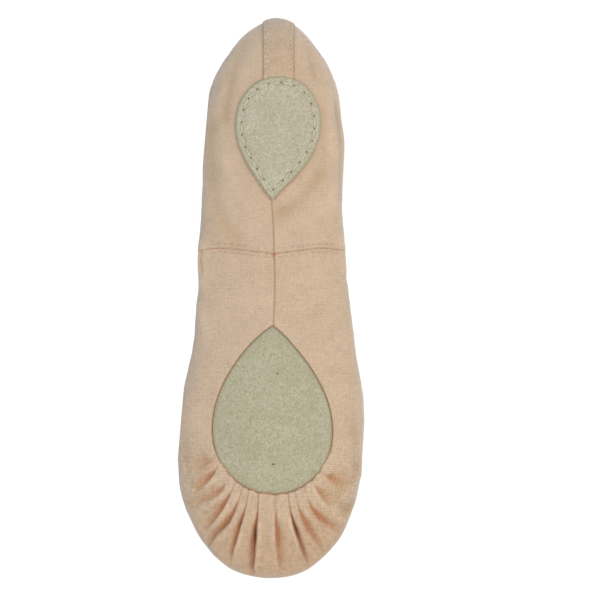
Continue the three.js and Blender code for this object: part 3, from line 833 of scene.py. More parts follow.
# The heel's right side stands fuller than the last there: line, by how much, half width
fullSide = {"line": [(57, -38), (66, -38)], "by": 1.1, "half": 13.0}
waves = {
    "broad": 0.22, "broadSize": 26.0, "fine": 0.07, "fineSize": 7.0,
    "gather": 0.28, "gatherSize": 8.0, "gatherReach": 9.0,
}
# Tones of the canvas: painted shade in folds and painted highlight on raised edges, the toe painted darker
# as shade, and how coarse the weave looks
tones = {
    "shadeFull": 1.1, "raised": 0.5, "toe": 0.8, "toeAlong": (196, 226), "heelCoarse": -0.4,
    "archCoarse": 0.25, "archAlong": (70, 130), "toeCoarse": 0.9, "coarseAlong": (168, 194),
    "onTop": (1.05, 1.4), "toeOnTop": 0.75,
}


def columnPlaces(gaps):
    q = np.linspace(0, lastSection, upper["samples"])
    widest = lastPoint(q, 1.0)
    legs = np.linalg.norm(np.diff(widest, axis=0), axis=1)
    x = (widest[1:, 0] + widest[:-1, 0]) / 2
    tip = forefootDrop["tip"] * last["length"]
    before, after = upper["tipReach"]
    gap = np.full(len(x), gaps["side"])
    gap[x > toeFan - upper["beforeToe"]] = gaps["toe"]
    gap[(x > tip + before) & (x < tip + after)] = gaps["tip"]
    gap[np.abs(x - upper["seamAlong"]) < upper["seamReach"]] = gaps["seam"]
    crossed = np.concatenate([[0], (legs / gap).cumsum()])
    left = np.interp(np.linspace(0, crossed[-1], int(crossed[-1]) + 1), crossed, q)
    left[np.argmin(np.abs(left - placeAlong(tip)))] = placeAlong(tip)
    return np.concatenate([left, wholeLoop - left[-2::-1]])


def pleatShapes(cloth):
    # how deep the pleats are at each point of the cloth, how far the folded edges stand up, how dark the
    # folds are painted as shade, and the softer painted shade beside them
    deepest, raised, darkest, shaded = (np.zeros(cloth.shape[:-1]) for _ in range(4))
    for line, depth, toLeft, toRight, tone in pleatRows:
        drawn = onCloth(line)
        heading = drawn[0] - drawn[1]
        drawn[0] += heading / np.linalg.norm(heading) * pleats["tucked"]
        heading = drawn[-1] - drawn[-2]
        drawn[-1] += heading / np.linalg.norm(heading) * pleats["tail"]
        away, side, share = lineDistance(cloth, rounded(drawn))
        opening = smooth(*pleats["opens"], share)
        ending = 1 - smooth(*pleats["ends"], share)
        reach = np.where(side > 0, toLeft, toRight)
        reach = np.where(reach >= 1, reach * pleats["softer"], reach)
        width = pleats["line"] + (reach - pleats["line"]) * opening
        strength = (pleats["lineDepth"] + (1 - pleats["lineDepth"]) * opening) * ending
        deepest = np.maximum(deepest, depth * strength * (1 - smooth(0, pleats["valley"], away / width)))
        folded = hump(away, pleats["beadWidth"], pleats["beadAway"]) * (reach < 1)
        fading = 1 - smooth(*pleats["beadEnds"], share)
        raised = np.maximum(raised, pleats["bead"] * strength * folded * fading)
        beside = hump(away, pleats["shadeReach"] + width) * (reach >= 1)
        shaded = np.maximum(shaded, opening * ending * beside)
        darkening = pleats["lineTone"] + (1 - pleats["lineTone"]) * smooth(*pleats["darkens"], share)
        paling = 1 - (1 - pleats["leftAtEnd"]) * smooth(*pleats["pales"], share)
        crispness = np.clip((2 - reach) / 1.5, 0, 1)
        core = pleats["darkCore"] + pleats["crispCore"] * crispness
        hollowShade = 1 - smooth(core, pleats["darkTo"], away / width)
        darkest = np.maximum(darkest, tone * darkening * paling * ending * hollowShade)
    return deepest, raised, darkest, shaded


def onCloth(line):
    # where the points of a line that was measured in plan lie on the unrolled cloth
    spots = []
    for point in np.array(line, float):
        plan = underPlan - point
        nearest = np.unravel_index(np.argmin((plan**2).sum(-1)), plan.shape[:-1])
        spots.append(underCloth[nearest])
    return np.array(spots)


tablePlaces = np.linspace(0, wholeLoop, 1201)
tableLevels, tableArcs = arcTable(tablePlaces, 320)
clothTable = unrolled(tablePlaces, tableArcs)[0]
underCount = 161
underCloth = clothTable[:, :underCount]
underPlan = lastPoint(tablePlaces[:, None], tableLevels[None, :underCount])[..., :2]


def canvasRelief(cloth, fromEdge, arcToTop, angle):
    x = cloth[..., 0]
    folds = sum(height * nearLine(cloth, line, half) for line, height, half in softFolds)
    folds += waves["broad"] * drift(cloth, waves["broadSize"], seeds["broad"])
    relief = folds + waves["fine"] * drift(cloth, waves["fineSize"], seeds["fine"])
    relief += fullSide["by"] * nearLine(cloth, fullSide["line"], fullSide["half"])

    # lapped seam: the heel panel lies on the toe panel
    away, side, _ = lineDistance(cloth, rounded(archSeam["line"]))
    heelward = -away * side
    lap = np.clip(1 - heelward / archSeam["lap"], 0, 1)
    fading = 1 - archSeam["fading"] * smooth(*archSeam["fades"], np.abs(cloth[..., 1]))
    relief += np.where(heelward > 0, archSeam["rise"] * lap, 0) * fading
    relief -= archSeam["groove"] * hump(away, archSeam["grooveWidth"]) * fading
    relief -= archSeam["dimple"] * hump(away, archSeam["dimpleWidth"], archSeam["rows"])
    seamLinesAndShade = archSeam["tone"] * hump(away, archSeam["lineWidth"])
    creased = nearLine(cloth, leftCrease["line"], leftCrease["width"])
    relief -= leftCrease["depth"] * creased
    seamLinesAndShade = np.maximum(seamLinesAndShade, leftCrease["tone"] * creased)

    away = lineDistance(cloth, rounded(centreSeam["line"]))[0]
    relief -= centreSeam["groove"] * hump(away, centreSeam["grooveWidth"])
    relief += centreSeam["shoulder"] * hump(away, centreSeam["shoulderWidth"])
    seamLinesAndShade = np.maximum(seamLinesAndShade, centreSeam["tone"] * hump(away, centreSeam["lineWidth"]))

    away = edgeDistance(cloth, forefootDrop)
    fromEdge = np.where(np.isnan(fromEdge), away, fromEdge)
    front = smooth(*turnedEdge["frontTurn"], np.degrees(np.abs(angle)))[:, None]
    front = front * smooth(*turnedEdge["frontAlong"], x)
    edgeRise = turnedEdge["puff"] + turnedEdge["gathered"] * front
    relief += edgeRise * hump(away, turnedEdge["puffWidth"])
    rolled = np.clip(1 - fromEdge / turnedEdge["roll"], 0, 1)
    relief -= (turnedEdge["drop"] + edgeRise) * rolled ** turnedEdge["rollPower"]
    edgeLine = fromEdge / turnedEdge["lineWidth"]
    # a painted shadow line along the turned edge
    seamLinesAndShade = np.maximum(seamLinesAndShade, turnedEdge["tone"] * np.clip(turnedEdge["lineReach"] - edgeLine, 0, 1))

    away = edgeDistance(cloth, heelDrop)
    relief -= heelEdge["dip"] * hump(away, heelEdge["dipWidth"])
    heelLine = hump(away, heelEdge["lineWidth"]) * smooth(*heelEdge["fades"], x)
    seamLinesAndShade = np.maximum(seamLinesAndShade, heelEdge["tone"] * heelLine)

    # the tape's drawstring gathers the canvas below the topline
    gathers = drift(cloth, waves["gatherSize"], seeds["gather"])
    relief += waves["gather"] * gathers * np.exp(-arcToTop / waves["gatherReach"])

    deep, raised, dark, shaded = pleatShapes(cloth)
    # a painted shadow line along the turned edge at the gathered front
    frontLine = front**3 * np.clip(turnedEdge["frontReach"] - edgeLine, 0, 1)
    coarse = tones["archCoarse"] * smooth(*tones["archAlong"], x)
    coarse += tones["toeCoarse"] * smooth(*tones["coarseAlong"], x)
    return relief + raised - deep, {
        # painted shade in the pleat valleys, and a painted shadow line under the gathered front edge
        "foldShade": np.maximum(dark, turnedEdge["frontShadow"] * frontLine),
        "seamLinesAndShade": seamLinesAndShade,
        # shade: painted shade in the soft folds' troughs, painted highlight on their ridges and on the
        # pleats' raised edges
        "shade": -folds / tones["shadeFull"] - tones["raised"] * raised / pleats["bead"],
        # the toe painted darker as shade, with the painted shade beside the pleats
        "toeShade": np.maximum(tones["toe"] * smooth(*tones["toeAlong"], x), shaded),
        "coarse": tones["heelCoarse"] + coarse,
    }


def edgeScallops(places, edge):
    # between two pleats the canvas reaches a little farther over the forefoot patch
    rim = lastPoint(places, edge)[..., :2]
    starts = np.array([row[0][0] for row in pleatRows])
    nearest = np.linalg.norm(rim[:, None] - starts, axis=-1).min(1)
    bulge = turnedEdge["overlap"] + turnedEdge["scallop"] * smooth(*turnedEdge["scallopFrom"], nearest)
    return np.where(edge > 0, bulge * smooth(*turnedEdge["scallopAlong"], rim[:, 0]), 0)


def makeUpper():
    places = columnPlaces(upper["columnGaps"])
    t, arcs = arcTable(places)
    edge = dropEdge(forefootDrop, places)
    scallops = edgeScallops(places, edge)
    first = np.array(upper["firstRows"])
    arc = np.empty((len(places), len(first) + upper["evenRows"]))
    levels = np.empty_like(arc)
    for i in range(len(places)):
        begin = np.interp(edge[i], t, arcs[i]) - scallops[i]
        even = np.linspace(begin + first[-1], arcs[i, -1], upper["evenRows"] + 1)[1:]
        arc[i] = np.concatenate([begin + first, even])
        levels[i] = np.interp(arc[i], arcs[i], t)
    cloth, angle = unrolled(places, arc)
    fromEdge = np.where(edge[:, None] > 0, arc - arc[:, :1], np.nan)
    relief, masks = canvasRelief(cloth, fromEdge, arcs[:, -1:] - arc, angle)

    roundWay = np.broadcast_to(wayAlong(lastPoint(places, 1.0))[:, None], arc.shape)
    arcWidest = np.stack([np.interp(1.0, t, row) for row in arcs])
    wall = np.stack([roundWay, arc - arcWidest[:, None]], -1)
    vamp = lastPoint(places[:, None], levels)[..., :2]
    toeSide = smooth(*upper["vampTurn"], np.degrees(np.abs(angle)))[:, None]
    onTop = smooth(*tones["onTop"], levels)
    masks["wallShare"] = smooth(*upper["wallLevels"], levels)
    masks["vampShare"] = smooth(*upper["vampLevels"], levels) * toeSide
    masks["coarse"] = masks["coarse"] * (1 - onTop)
    # less painted toe shade on the top of the vamp
    masks["toeShade"] = masks["toeShade"] * (1 - tones["toeOnTop"] * onTop)
    points = skin(places[:, None], levels, 0.0, relief)
    piece = clothGrid("upperCanvas", points, dict(zip(clothLayers, (cloth, wall, vamp))), masks)
    faceOutward(piece, awayFromSole)
    thicken(piece, upper["wall"])
    piece.data.materials.append(makeCanvas("canvas", canvas))
    sew(piece, "canvas", "upper")
    print("upper sewn", len(piece.data.polygons))


makeUpper()

# Suede of the two sole patches
suedeFinish = {
    "bump": 0.0003,
    "bumpStrength": 0.9,
    "patchScale": 90.0,
    "patchAmount": 1.2,
    "flecked": 0.4,
    "shader": {"Roughness": 0.97, "Specular IOR Level": 0.1, "Sheen Weight": 0.35, "Sheen Roughness": 0.5},
}
forefootFinish = {
    **suedeFinish,
    "suede": paint(196, 188, 158),
    "shade": paint(165, 155, 122),
    # rim: painted shade along the patch's edge; shadow: painted shadow under the gathered canvas
    "rim": paint(158, 150, 118),
    "shadow": paint(98, 82, 50),
    "fleck": paint(208, 205, 189),
    "napScale": 2600.0,
}
heelFinish = {
    **suedeFinish,
    "suede": paint(206, 197, 169),
    "shade": paint(172, 160, 129),
    # rim: painted shade along the patch's edge
    "rim": paint(162, 153, 122),
    "shadow": paint(96, 78, 52),
    "fleck": paint(216, 212, 196),
    "napScale": 2500.0,
}


def makeSuede(name, finish):
    material, tree, shader = newMaterial(name)
    nap = place(tree, suedeNap, Vector=objectSpot(tree), Scale=finish["napScale"])
    tone = calc(tree, "MULTIPLY", nap["Tone"], patchTone(tree, finish))
    base = blendColours(tree, tone, finish["shade"], finish["suede"])
    flecks = calc(tree, "MULTIPLY", nap["Fleck"], finish["flecked"])
    base = blendColours(tree, flecks, base, finish["fleck"])
    # painted shade along the edge and painted shadow under the gathered canvas
    for mask in ("rim", "shadow"):
        base = blendColours(tree, attribute(tree, mask), base, finish[mask])
    dressShader(tree, shader, base, finish, nap["Height"])
    return material


# The patches: a drop of suede each, cut on the last from the centre line out to its edge
forefootPatch = {
    "depth": 0.55, "inset": 0.1, "thickness": 0.0012, "rows": 30, "wave": 0.12, "bevel": 0.00022,
    "slot": "suede", "node": "forefoot_patch",
}
heelPatch = {
    "depth": -1.2, "inset": 0.0, "thickness": 0.0013, "rows": 34, "wave": 0.14, "bevel": 0.00035,
    "slot": "heel_suede", "node": "heel_patch",
}
# What both share: rows closer at the rim, painted shade along the rim, and a painted shadow at the gathered
# canvas
patchCut = {
    "columns": 110, "crowding": 1.6, "waveSize": 16.0, "weld": 0.00002, "rimFrom": 1.3, "rimShadeTone": 0.85,
    "gatheredAlong": (186, 197), "gatheredFrom": (0.6, 0.15), "gatheredTone": 0.8,
    "frontAlong": (182, 196), "frontDip": 0.25, "frontReach": 2.0,
}
# Its seam: how far the stitches lie inside the edge, and how deep they pull the suede
heelSeam = {
    "inside": 2.65, "rounding": 12, "groove": 0.3, "grooveWidth": 0.6, "stitch": 5.2, "gap": 0.5,
    "radius": 0.25, "lift": 1.34, "hole": (0.37, 0.296, 0.2), "bead": 0.12, "beadAt": 1.0, "beadWidth": 0.8,
    "edgeDrop": 0.35, "edgeWidth": 0.8,
}


def patchPlaces(drop, count):
    q = np.linspace(0, lastSection, 3001)
    inside = q[dropEdge(drop, q) > 0.015]
    crossed = wayAlong(lastPoint(inside, dropEdge(drop, inside)))
    left = np.interp(np.linspace(0, crossed[-1], count), crossed, inside)
    right = wholeLoop - left[::-1]
    tip = placeAlong(drop["tip"] * last["length"])
    if drop["end"] < drop["tip"]:
        return np.concatenate([[wholeLoop - tip], right, left[1:], [tip]])
    return np.concatenate([[tip], left, right[1:], [wholeLoop - tip]])


def makePatch(name, drop, sizes, relief, finish):
    places = patchPlaces(drop, patchCut["columns"])
    edge = dropEdge(drop, places, -sizes["inset"])
    levels = edge[:, None] * (1 - (1 - np.linspace(0, 1, sizes["rows"])) ** patchCut["crowding"])
    cloth = lastPoint(places[:, None], levels)[..., :2]
    away = edgeDistance(cloth, drop)
    lift = relief(cloth, away) + sizes["wave"] * drift(cloth, patchCut["waveSize"], seeds["patch"])
    points = skin(places[:, None], levels, 0.0, lift - sizes["depth"])
    gathered = smooth(*patchCut["gatheredAlong"], cloth[..., 0]) * smooth(*patchCut["gatheredFrom"], away)
    masks = {
        # painted shade along the edge
        "rim": smooth(patchCut["rimFrom"], 0.0, away) * patchCut["rimShadeTone"],
        "shadow": patchCut["gatheredTone"] * gathered,
    }
    piece = clothGrid(name, points, {"cut": cloth}, masks, patchCut["weld"])
    faceOutward(piece, facesSole)
    thicken(piece, sizes["thickness"], sizes["bevel"])
    piece.data.materials.append(makeSuede(name, finish))
    sew(piece, sizes["slot"], sizes["node"])


def forefootRelief(cloth, away):
    # the suede dips a little where the canvas is gathered over its edge
    front = smooth(*patchCut["frontAlong"], cloth[..., 0])
    return -patchCut["frontDip"] * front * np.exp(-away / patchCut["frontReach"])


def heelRelief(cloth, away):
    relief = -heelSeam["groove"] * hump(away, heelSeam["grooveWidth"], heelSeam["inside"])
    relief += heelSeam["bead"] * hump(away, heelSeam["beadWidth"], heelSeam["beadAt"])
    return relief - heelSeam["edgeDrop"] * np.clip(1 - away / heelSeam["edgeWidth"], 0, 1) ** 2


makePatch("forefootSuede", forefootDrop, forefootPatch, forefootRelief, forefootFinish)
makePatch("heelSuede", heelDrop, heelPatch, heelRelief, heelFinish)
print("patches sewn")

# Stitches: one is modelled, and copies of its mesh lie along a seam
thread = {
    "light": paint(222, 214, 192), "peach": paint(218, 196, 170), "knot": paint(204, 116, 66),
    # hole and mark: dark spots of painted shade for needle holes and pinholes
    "hole": paint(78, 66, 50), "markShade": paint(166, 134, 104),
    "twist": 0.0009, "shaded": 0.84, "bump": 0.00006, "bumpStrength": 0.7,
    "shader": {"Roughness": 0.75, "Sheen Weight": 0.2},
}
# needle holes are painted shade: small dark shapes where the thread goes in
needleHoleShade = {"patchScale": 900.0, "patchAmount": 0.8, "pale": 1.6, "shader": {"Roughness": 1.0}}


def timesTint(tint, share):
    return tuple(v * share for v in tint[:3]) + (1.0,)


def makeThread(name, tint):
    material, tree, shader = newMaterial(name)
    scale = 1 / thread["twist"] / 6
    sockets = {"Vector": objectSpot(tree), "Scale": scale, "Distortion": 2.0, "Detail": 1.0}
    twist = put(tree, "ShaderNodeTexWave", sockets, bands_direction="DIAGONAL").outputs["Fac"]
    base = blendColours(tree, twist, timesTint(tint, thread["shaded"]), tint)
    dressShader(tree, shader, base, thread, twist)
    return material


def makeHoleShade(name, tint):
    material, tree, shader = newMaterial(name)
    tone = ramp(tree, patchTone(tree, needleHoleShade), 0.8, 1.2)
    base = blendColours(tree, tone, tint, timesTint(tint, needleHoleShade["pale"]))
    dressShader(tree, shader, base, needleHoleShade)
    return material


def evenSteps(line, step, closed=False, probe=0.3):
    # points along a line, about a step apart, the line's heading at each, and the true step
    if closed:
        line = np.concatenate([line, line[:1]])
    gone = wayAlong(line)
    count = max(int(round(gone[-1] / step)), 1)
    middle = (np.arange(count) + 0.5) * gone[-1] / count
    before, spots, after = [
        np.stack([np.interp(middle + on, gone, axis) for axis in line.T], -1) for on in (-probe, 0, probe)
    ]
    heading = after - before
    return spots, heading / np.linalg.norm(heading, axis=1, keepdims=True), gone[-1] / count


def spreadCopies(name, spots, heading, normal, size, material, slotName, rings=6, sides=8):
    # one small rounded shape, copied to every spot and joined: size is its half length, width and
    # height, and its two ends bend down into the cloth
    bpy.ops.object.select_all(action="DESELECT")
    bpy.ops.mesh.primitive_uv_sphere_add(segments=sides, ring_count=rings, radius=1)
    piece = bpy.context.object
    piece.name = name
    mesh = piece.data
    mesh.name = name
    corners = np.array([v.co for v in mesh.vertices])[:, [2, 1, 0]]
    faces = [list(f.vertices)[::-1] for f in mesh.polygons]
    shaped = corners * np.asarray(size)
    shaped[:, 2] -= corners[:, 0] ** 2 * size[2] * 0.9
    axes = np.stack([heading, np.cross(normal, heading), normal], 1)
    copies = spots[:, None, :] + shaped @ axes
    joined = [[c + i * len(corners) for c in f] for i in range(len(spots)) for f in faces]
    mesh.clear_geometry()
    mesh.from_pydata(toWorld(copies).reshape(-1, 3).tolist(), [], joined)
    mesh.update()
    mesh.materials.append(material)
    sew(piece, slotName)


def sewStitches(names, row, seam, materials, slotName, swing=0.0):
    # a stitch at every spot of a row, and a dark mark of painted shade for the hole that its thread goes
    # into
    spots, heading, normal, step = row
    size = (step / 2 - seam["gap"], seam["radius"], seam["radius"])
    spreadCopies(names[0], spots, heading, normal, size, materials[0], slotName)
    if len(names) > 1:
        ends = spots + heading * step / 2 - swing
        spreadCopies(names[1], ends, heading, normal, seam["hole"], materials[1], slotName, 4, 6)


def locate(table, targets):
    # the place and the level of each target, between the points of a table
    found = []
    for target in targets:
        away = ((table - target) ** 2).sum(-1)
        i, k = np.unravel_index(np.argmin(away), away.shape)
        i = min(max(i, 1), table.shape[0] - 2)
        k = min(max(k, 1), table.shape[1] - 2)
        byStep = np.stack([table[i + 1, k] - table[i - 1, k], table[i, k + 1] - table[i, k - 1]], 1) / 2
        step = np.clip(np.linalg.lstsq(byStep, target - table[i, k], rcond=None)[0], -1, 1)
        found.append((tablePlaces[i] + step[0] * tablePlaces[1], tableLevels[k] + step[1] * tableLevels[1]))
    return np.array(found)


def sewRow(line, closed, stitch, lift, table, ahead=0.8, highest=1.9):
    # the middle of each stitch along a line, its heading, the skin's normal, and the stitch's length
    spots, heading, step = evenSteps(np.asarray(line, float), stitch, closed)
    on = locate(table, spots)
    onward = locate(table, spots + heading * ahead)
    kept = on[:, 1] < highest
    on, onward = on[kept], onward[kept]
    base = skin(on[:, 0], on[:, 1], 0.0, lift)
    forward = skin(onward[:, 0], onward[:, 1], 0.0, lift) - base
    normal = lastNormal(on[:, 0], on[:, 1])
    forward -= (forward * normal).sum(1, keepdims=True) * normal
    forward /= np.linalg.norm(forward, axis=1, keepdims=True)
    return base, forward, normal, step


lightThread = makeThread("lightThread", thread["light"])
peachThread = makeThread("peachThread", thread["peach"])
knotThread = makeThread("knotThread", thread["knot"])
holeShade = makeHoleShade("needleHoleShade", thread["hole"])
needleMarkShade = makeHoleShade("needleMarkShade", thread["markShade"])


def sewHeelPatch():
    ring = insetOutline(heelDrop, heelSeam["inside"])
    for _ in range(heelSeam["rounding"]):
        ring = (np.roll(ring, 1, 0) + ring + np.roll(ring, -1, 0)) / 3
    row = sewRow(ring, True, heelSeam["stitch"], heelSeam["lift"], underPlan)
    names = ("heelPatchStitches", "heelPatchHoles")
    sewStitches(names, row, heelSeam, (lightThread, holeShade), "heel_suede")


sewHeelPatch()
print("heel patch stitched")

# Rows of stitches on both sides of the lapped seam, with painted shade at their needle holes, the knot
# where it meets the centre seam, and two pinholes in the forefoot patch, painted as dark spots of shade
seamRows = {
    "stitch": 2.9, "gap": 0.45, "radius": 0.15, "hole": (0.23, 0.23, 0.16), "along": 98.4, "ends": 72.0,
    "rows": [
        ("archSeamHeelRow", -archSeam["rows"] - 0.2, 0.22),
        ("archSeamToeRow", archSeam["rows"], 0.02),
    ],
}
seamKnot = {
    "spots": [(99.6, -0.7)], "lift": 0.1, "size": (0.744, 0.496, 0.35), "sphere": (8, 12), "slot": "canvas",
}
pinholes = {
    "spots": [(149.6, -2.1), (187.6, -0.3)], "lift": -forefootPatch["depth"] - 0.02,
    "size": (0.42, 0.483, 0.12), "sphere": (4, 10), "slot": "suede",
}


def sewArchSeam():
    ends = [(seamRows["along"], seamRows["ends"]), (seamRows["along"], -seamRows["ends"])]
    line = rounded([ends[0], *archSeam["line"][1:-1], ends[1]])
    for name, away, lift in seamRows["rows"]:
        row = sewRow(line + (away, 0), False, seamRows["stitch"], lift, clothTable)
        sewStitches((name, name + "Holes"), row, seamRows, (peachThread, needleMarkShade), "canvas")


def spotMarks(name, marks, material):
    # single marks of thread or shade, at spots measured in plan
    places, levels = locate(underPlan, marks["spots"]).T
    base = skin(places, levels, 0.0, marks["lift"])
    heading = np.tile((1.0, 0.0, 0.0), (len(base), 1))
    normal = lastNormal(places, levels)
    spreadCopies(name, base, heading, normal, marks["size"], material, marks["slot"], *marks["sphere"])


sewArchSeam()
spotMarks("seamKnot", seamKnot, knotThread)
spotMarks("forefootPinholeShades", pinholes, holeShade)
print("seam stitched")


# Tape up the back of the heel, from under the heel patch to the topline binding
heelTape = {
    "middle": -2.59, "width": 13.0, "lift": 0.75, "thickness": 0.0008, "underPatch": 2.5, "topOverlap": 1.0,
    "topLevel": 1.7, "columns": 17, "rows": 70, "edgeRows": 1.6, "rowDip": 0.16, "rowWidth": 0.5,
    "edgeDrop": 0.25, "edgeWidth": 0.5, "wave": 0.06, "waveSize": 6.0, "edgeShadow": 0.8, "edgeShade": 0.4,
    "shade": 0.3, "pitch": 0.62, "stitch": 2.3, "gap": 0.3, "radius": 0.18, "threadLift": -0.06,
    "zigzag": 1.1, "hole": (0.24, 0.24, 0.16),
}
binding = {
    "width": 7.0, "outer": 0.85, "wall": 1.4, "channel": 0.4, "channelAt": 5.2, "channelWidth": 1.6,
    "pucker": 0.13, "puckerSize": 5.0, "puckerCount": 9, "rowDip": 0.2, "rowWidth": 0.6, "tucked": 0.3,
    "crown": 0.9, "steps": 9, "inner": 0.05, "innerTop": 0.85, "columns": 620, "pitch": 0.5,
    "cloth": paint(210, 180, 148), "stitchUp": 1.3, "stitch": 2.6, "gap": 0.3, "radius": 0.15,
    "threadLift": -0.12,
}


def placeAcross(y, t):
    # round the back of the heel, the place that lies at y across
    side = np.where(y >= lastPoint(0 * y, t)[..., 1], 1.0, -1.0)
    found = bisect(0 * y, 0 * y + 4, lambda q: (lastPoint(side * q, t)[..., 1] - y) * side < 0)
    return side * found


def bindingFoot(place, reach):
    rim = lastPoint(place, 2.0)
    nearTop = lambda t: np.linalg.norm(lastPoint(place, t) - rim, axis=-1) > reach
    return bisect(0 * place + 1, 0 * place + 2, nearTop)


def heelTapeFoot(y):
    t = np.linspace(0.2, 1.0, 240)
    p = lastPoint(placeAcross(0 * t + y, t), t)
    inside = insideDrop(heelDrop, p, -heelTape["underPatch"])
    return t[np.nonzero(inside)[0][-1]] if inside.any() else t[0]


def heelTapeTop(y):
    places = placeAcross(y, 0 * y + heelTape["topLevel"])
    return bindingFoot(places, binding["width"] - heelTape["topOverlap"])


def makeHeelTape():
    y = heelTape["middle"] + np.linspace(-0.5, 0.5, heelTape["columns"]) * heelTape["width"]
    foot = np.array([heelTapeFoot(v) for v in y])
    t = foot[:, None] + (heelTapeTop(y) - foot)[:, None] * np.linspace(0, 1, heelTape["rows"])
    y = np.broadcast_to(y[:, None], t.shape)
    places = placeAcross(y, t)
    across = y - heelTape["middle"]
    edge = heelTape["width"] / 2 - np.abs(across)
    bare = lastPoint(places, t)
    cloth = np.stack([across, bare[..., 2] - bare[..., 0]], -1)
    lift = heelTape["lift"] - heelTape["rowDip"] * hump(edge, heelTape["rowWidth"], heelTape["edgeRows"])
    lift -= heelTape["edgeDrop"] * np.clip(1 - edge / heelTape["edgeWidth"], 0, 1)
    lift += heelTape["wave"] * drift(cloth, heelTape["waveSize"], seeds["tape"])
    masks = {
        # painted shadow along the tape's edges
        "seamLinesAndShade": heelTape["edgeShadow"] * hump(edge, heelTape["edgeShade"]),
        "shade": heelTape["shade"] + 0 * edge,
    }
    piece = clothGrid("heelTape", skin(places, t, 0.0, lift), dict.fromkeys(clothLayers, cloth), masks)
    faceOutward(piece, awayFromSole)
    thicken(piece, heelTape["thickness"])
    piece.data.materials.append(makeCanvas("tapeCanvas", {**canvas, "pitch": heelTape["pitch"]}))
    sew(piece, "strip_canvas", "heel_strip")
    sewTapeRow("heelTapeLeftRow", 1, heelTape["zigzag"], lightThread)
    sewTapeRow("heelTapeRightRow", -1, 0.0, peachThread)


def stepsOnSkin(line, places, levels, stitch):
    # even steps along a line of the skin, with the last's normal at the nearest point of the line
    spots, heading, step = evenSteps(line, stitch)
    nearest = np.argmin(((line[None] - spots[:, None]) ** 2).sum(-1), 1)
    return spots, heading, lastNormal(places[nearest], levels[nearest]), step


def sewTapeRow(name, where, zigzag, threadShade):
    y = heelTape["middle"] + where * (heelTape["width"] / 2 - heelTape["edgeRows"])
    t = np.linspace(heelTapeFoot(y), heelTapeTop(np.array([y]))[0], 400)
    places = placeAcross(0 * t + y, t)
    line = skin(places, t, 0.0, heelTape["lift"] + heelTape["threadLift"])
    spots, heading, normal, step = stepsOnSkin(line, places, t, heelTape["stitch"])
    swing = zigzag * np.cross(normal, heading) * (np.arange(len(spots)) % 2 - 0.5)[:, None]
    row = (spots + swing, heading, normal, step)
    sewStitches((name, name + "Holes"), row, heelTape, (threadShade, needleMarkShade), "strip_canvas", swing)


makeHeelTape()
print("heel tape sewn")


# Binding folded over the topline, with the drawstring's channel
def toplinePlaces(count):
    q = np.linspace(0, wholeLoop, 3001)
    crossed = wayAlong(lastPoint(q, 2.0))
    return np.interp(np.linspace(0, crossed[-1], count + 1), crossed, q), crossed[-1]


def makeBinding():
    places, around = toplinePlaces(binding["columns"])
    foot = bindingFoot(places, binding["width"])
    way = np.linspace(0, around, len(places))
    turn = way / around * 2 * math.pi
    ringed = np.stack([np.cos(turn), np.sin(turn)], -1) * around / 2 / math.pi
    pucker = drift(ringed, binding["puckerSize"], seeds["pucker"], binding["puckerCount"])
    pucker *= binding["pucker"]
    rim = lastPoint(places, 2.0)
    below = lastPoint(places, 2.0 - last["probe"])
    up = (rim - below) / np.linalg.norm(rim - below, axis=1, keepdims=True)
    inward = binding["wall"] + binding["outer"]
    shares = np.linspace(0, 1, binding["steps"])
    profile = []
    heights = []
    for share in shares:
        high = share * binding["width"]
        relief = binding["outer"] - (binding["tucked"] if share == 0 else 0)
        relief += binding["channel"] * hump(high, binding["channelWidth"], binding["channelAt"])
        relief -= binding["rowDip"] * hump(high, binding["rowWidth"], binding["stitchUp"])
        profile.append(skin(places, foot + (2 - foot) * share, 0.0, relief + pucker * (0.5 + share)))
        heights.append(high)
    outerTop = profile[-1]
    innerTop = skin(places, 2.0, inward, 0.0)
    centre = (outerTop + innerTop) / 2
    radius = np.linalg.norm(outerTop - innerTop, axis=1, keepdims=True) / 2
    outward = (outerTop - innerTop) / (2 * radius)
    for angle in np.linspace(0, math.pi, binding["steps"])[1:-1]:
        crown = up * math.sin(angle) * binding["crown"]
        profile.append(centre + radius * (outward * math.cos(angle) + crown))
        heights.append(binding["width"] + radius.mean() * angle)
    for share in shares[::-1]:
        depth = inward - (binding["tucked"] if share == 0 else 0)
        profile.append(skin(places, foot + (2 - foot) * share, depth, -0.5 * pucker))
        heights.append(heights[-1] + binding["width"] / (binding["steps"] - 1))
    # back along both faces of the canvas that the tape is folded over
    high = foot + (2 - foot) * binding["innerTop"]
    thinner = binding["wall"] + binding["inner"]
    for t, depth, relief in ((foot, thinner, 0.0), (high, thinner, 0.0), (high, 0.0, binding["inner"]),
                             (foot, 0.0, binding["inner"])):
        profile.append(skin(places, t, depth, relief))
    profile.append(profile[0])
    heights += [heights[-1] + k for k in (1, 7, 9, 15, 16)]
    cloth = np.stack(np.broadcast_arrays(way[:, None], np.array(heights)[None, :]), -1)
    piece = clothGrid("toplineTape", np.stack(profile, 1), dict.fromkeys(clothLayers, cloth))
    onAll(piece, bpy.ops.mesh.normals_make_consistent, inside=False)
    finish = {**canvas, "pitch": binding["pitch"], "cloth": binding["cloth"]}
    piece.data.materials.append(makeCanvas("bindingTape", finish))
    sew(piece, "binding_tape", "topline_binding")

    low = bindingFoot(places, binding["width"] - binding["stitchUp"])
    line = skin(places, low, 0.0, binding["outer"] + binding["threadLift"])
    row = stepsOnSkin(line, places, low, binding["stitch"])
    sewStitches(("toplineStitches",), row, binding, (peachThread,), "binding_tape")


makeBinding()
print("binding sewn")


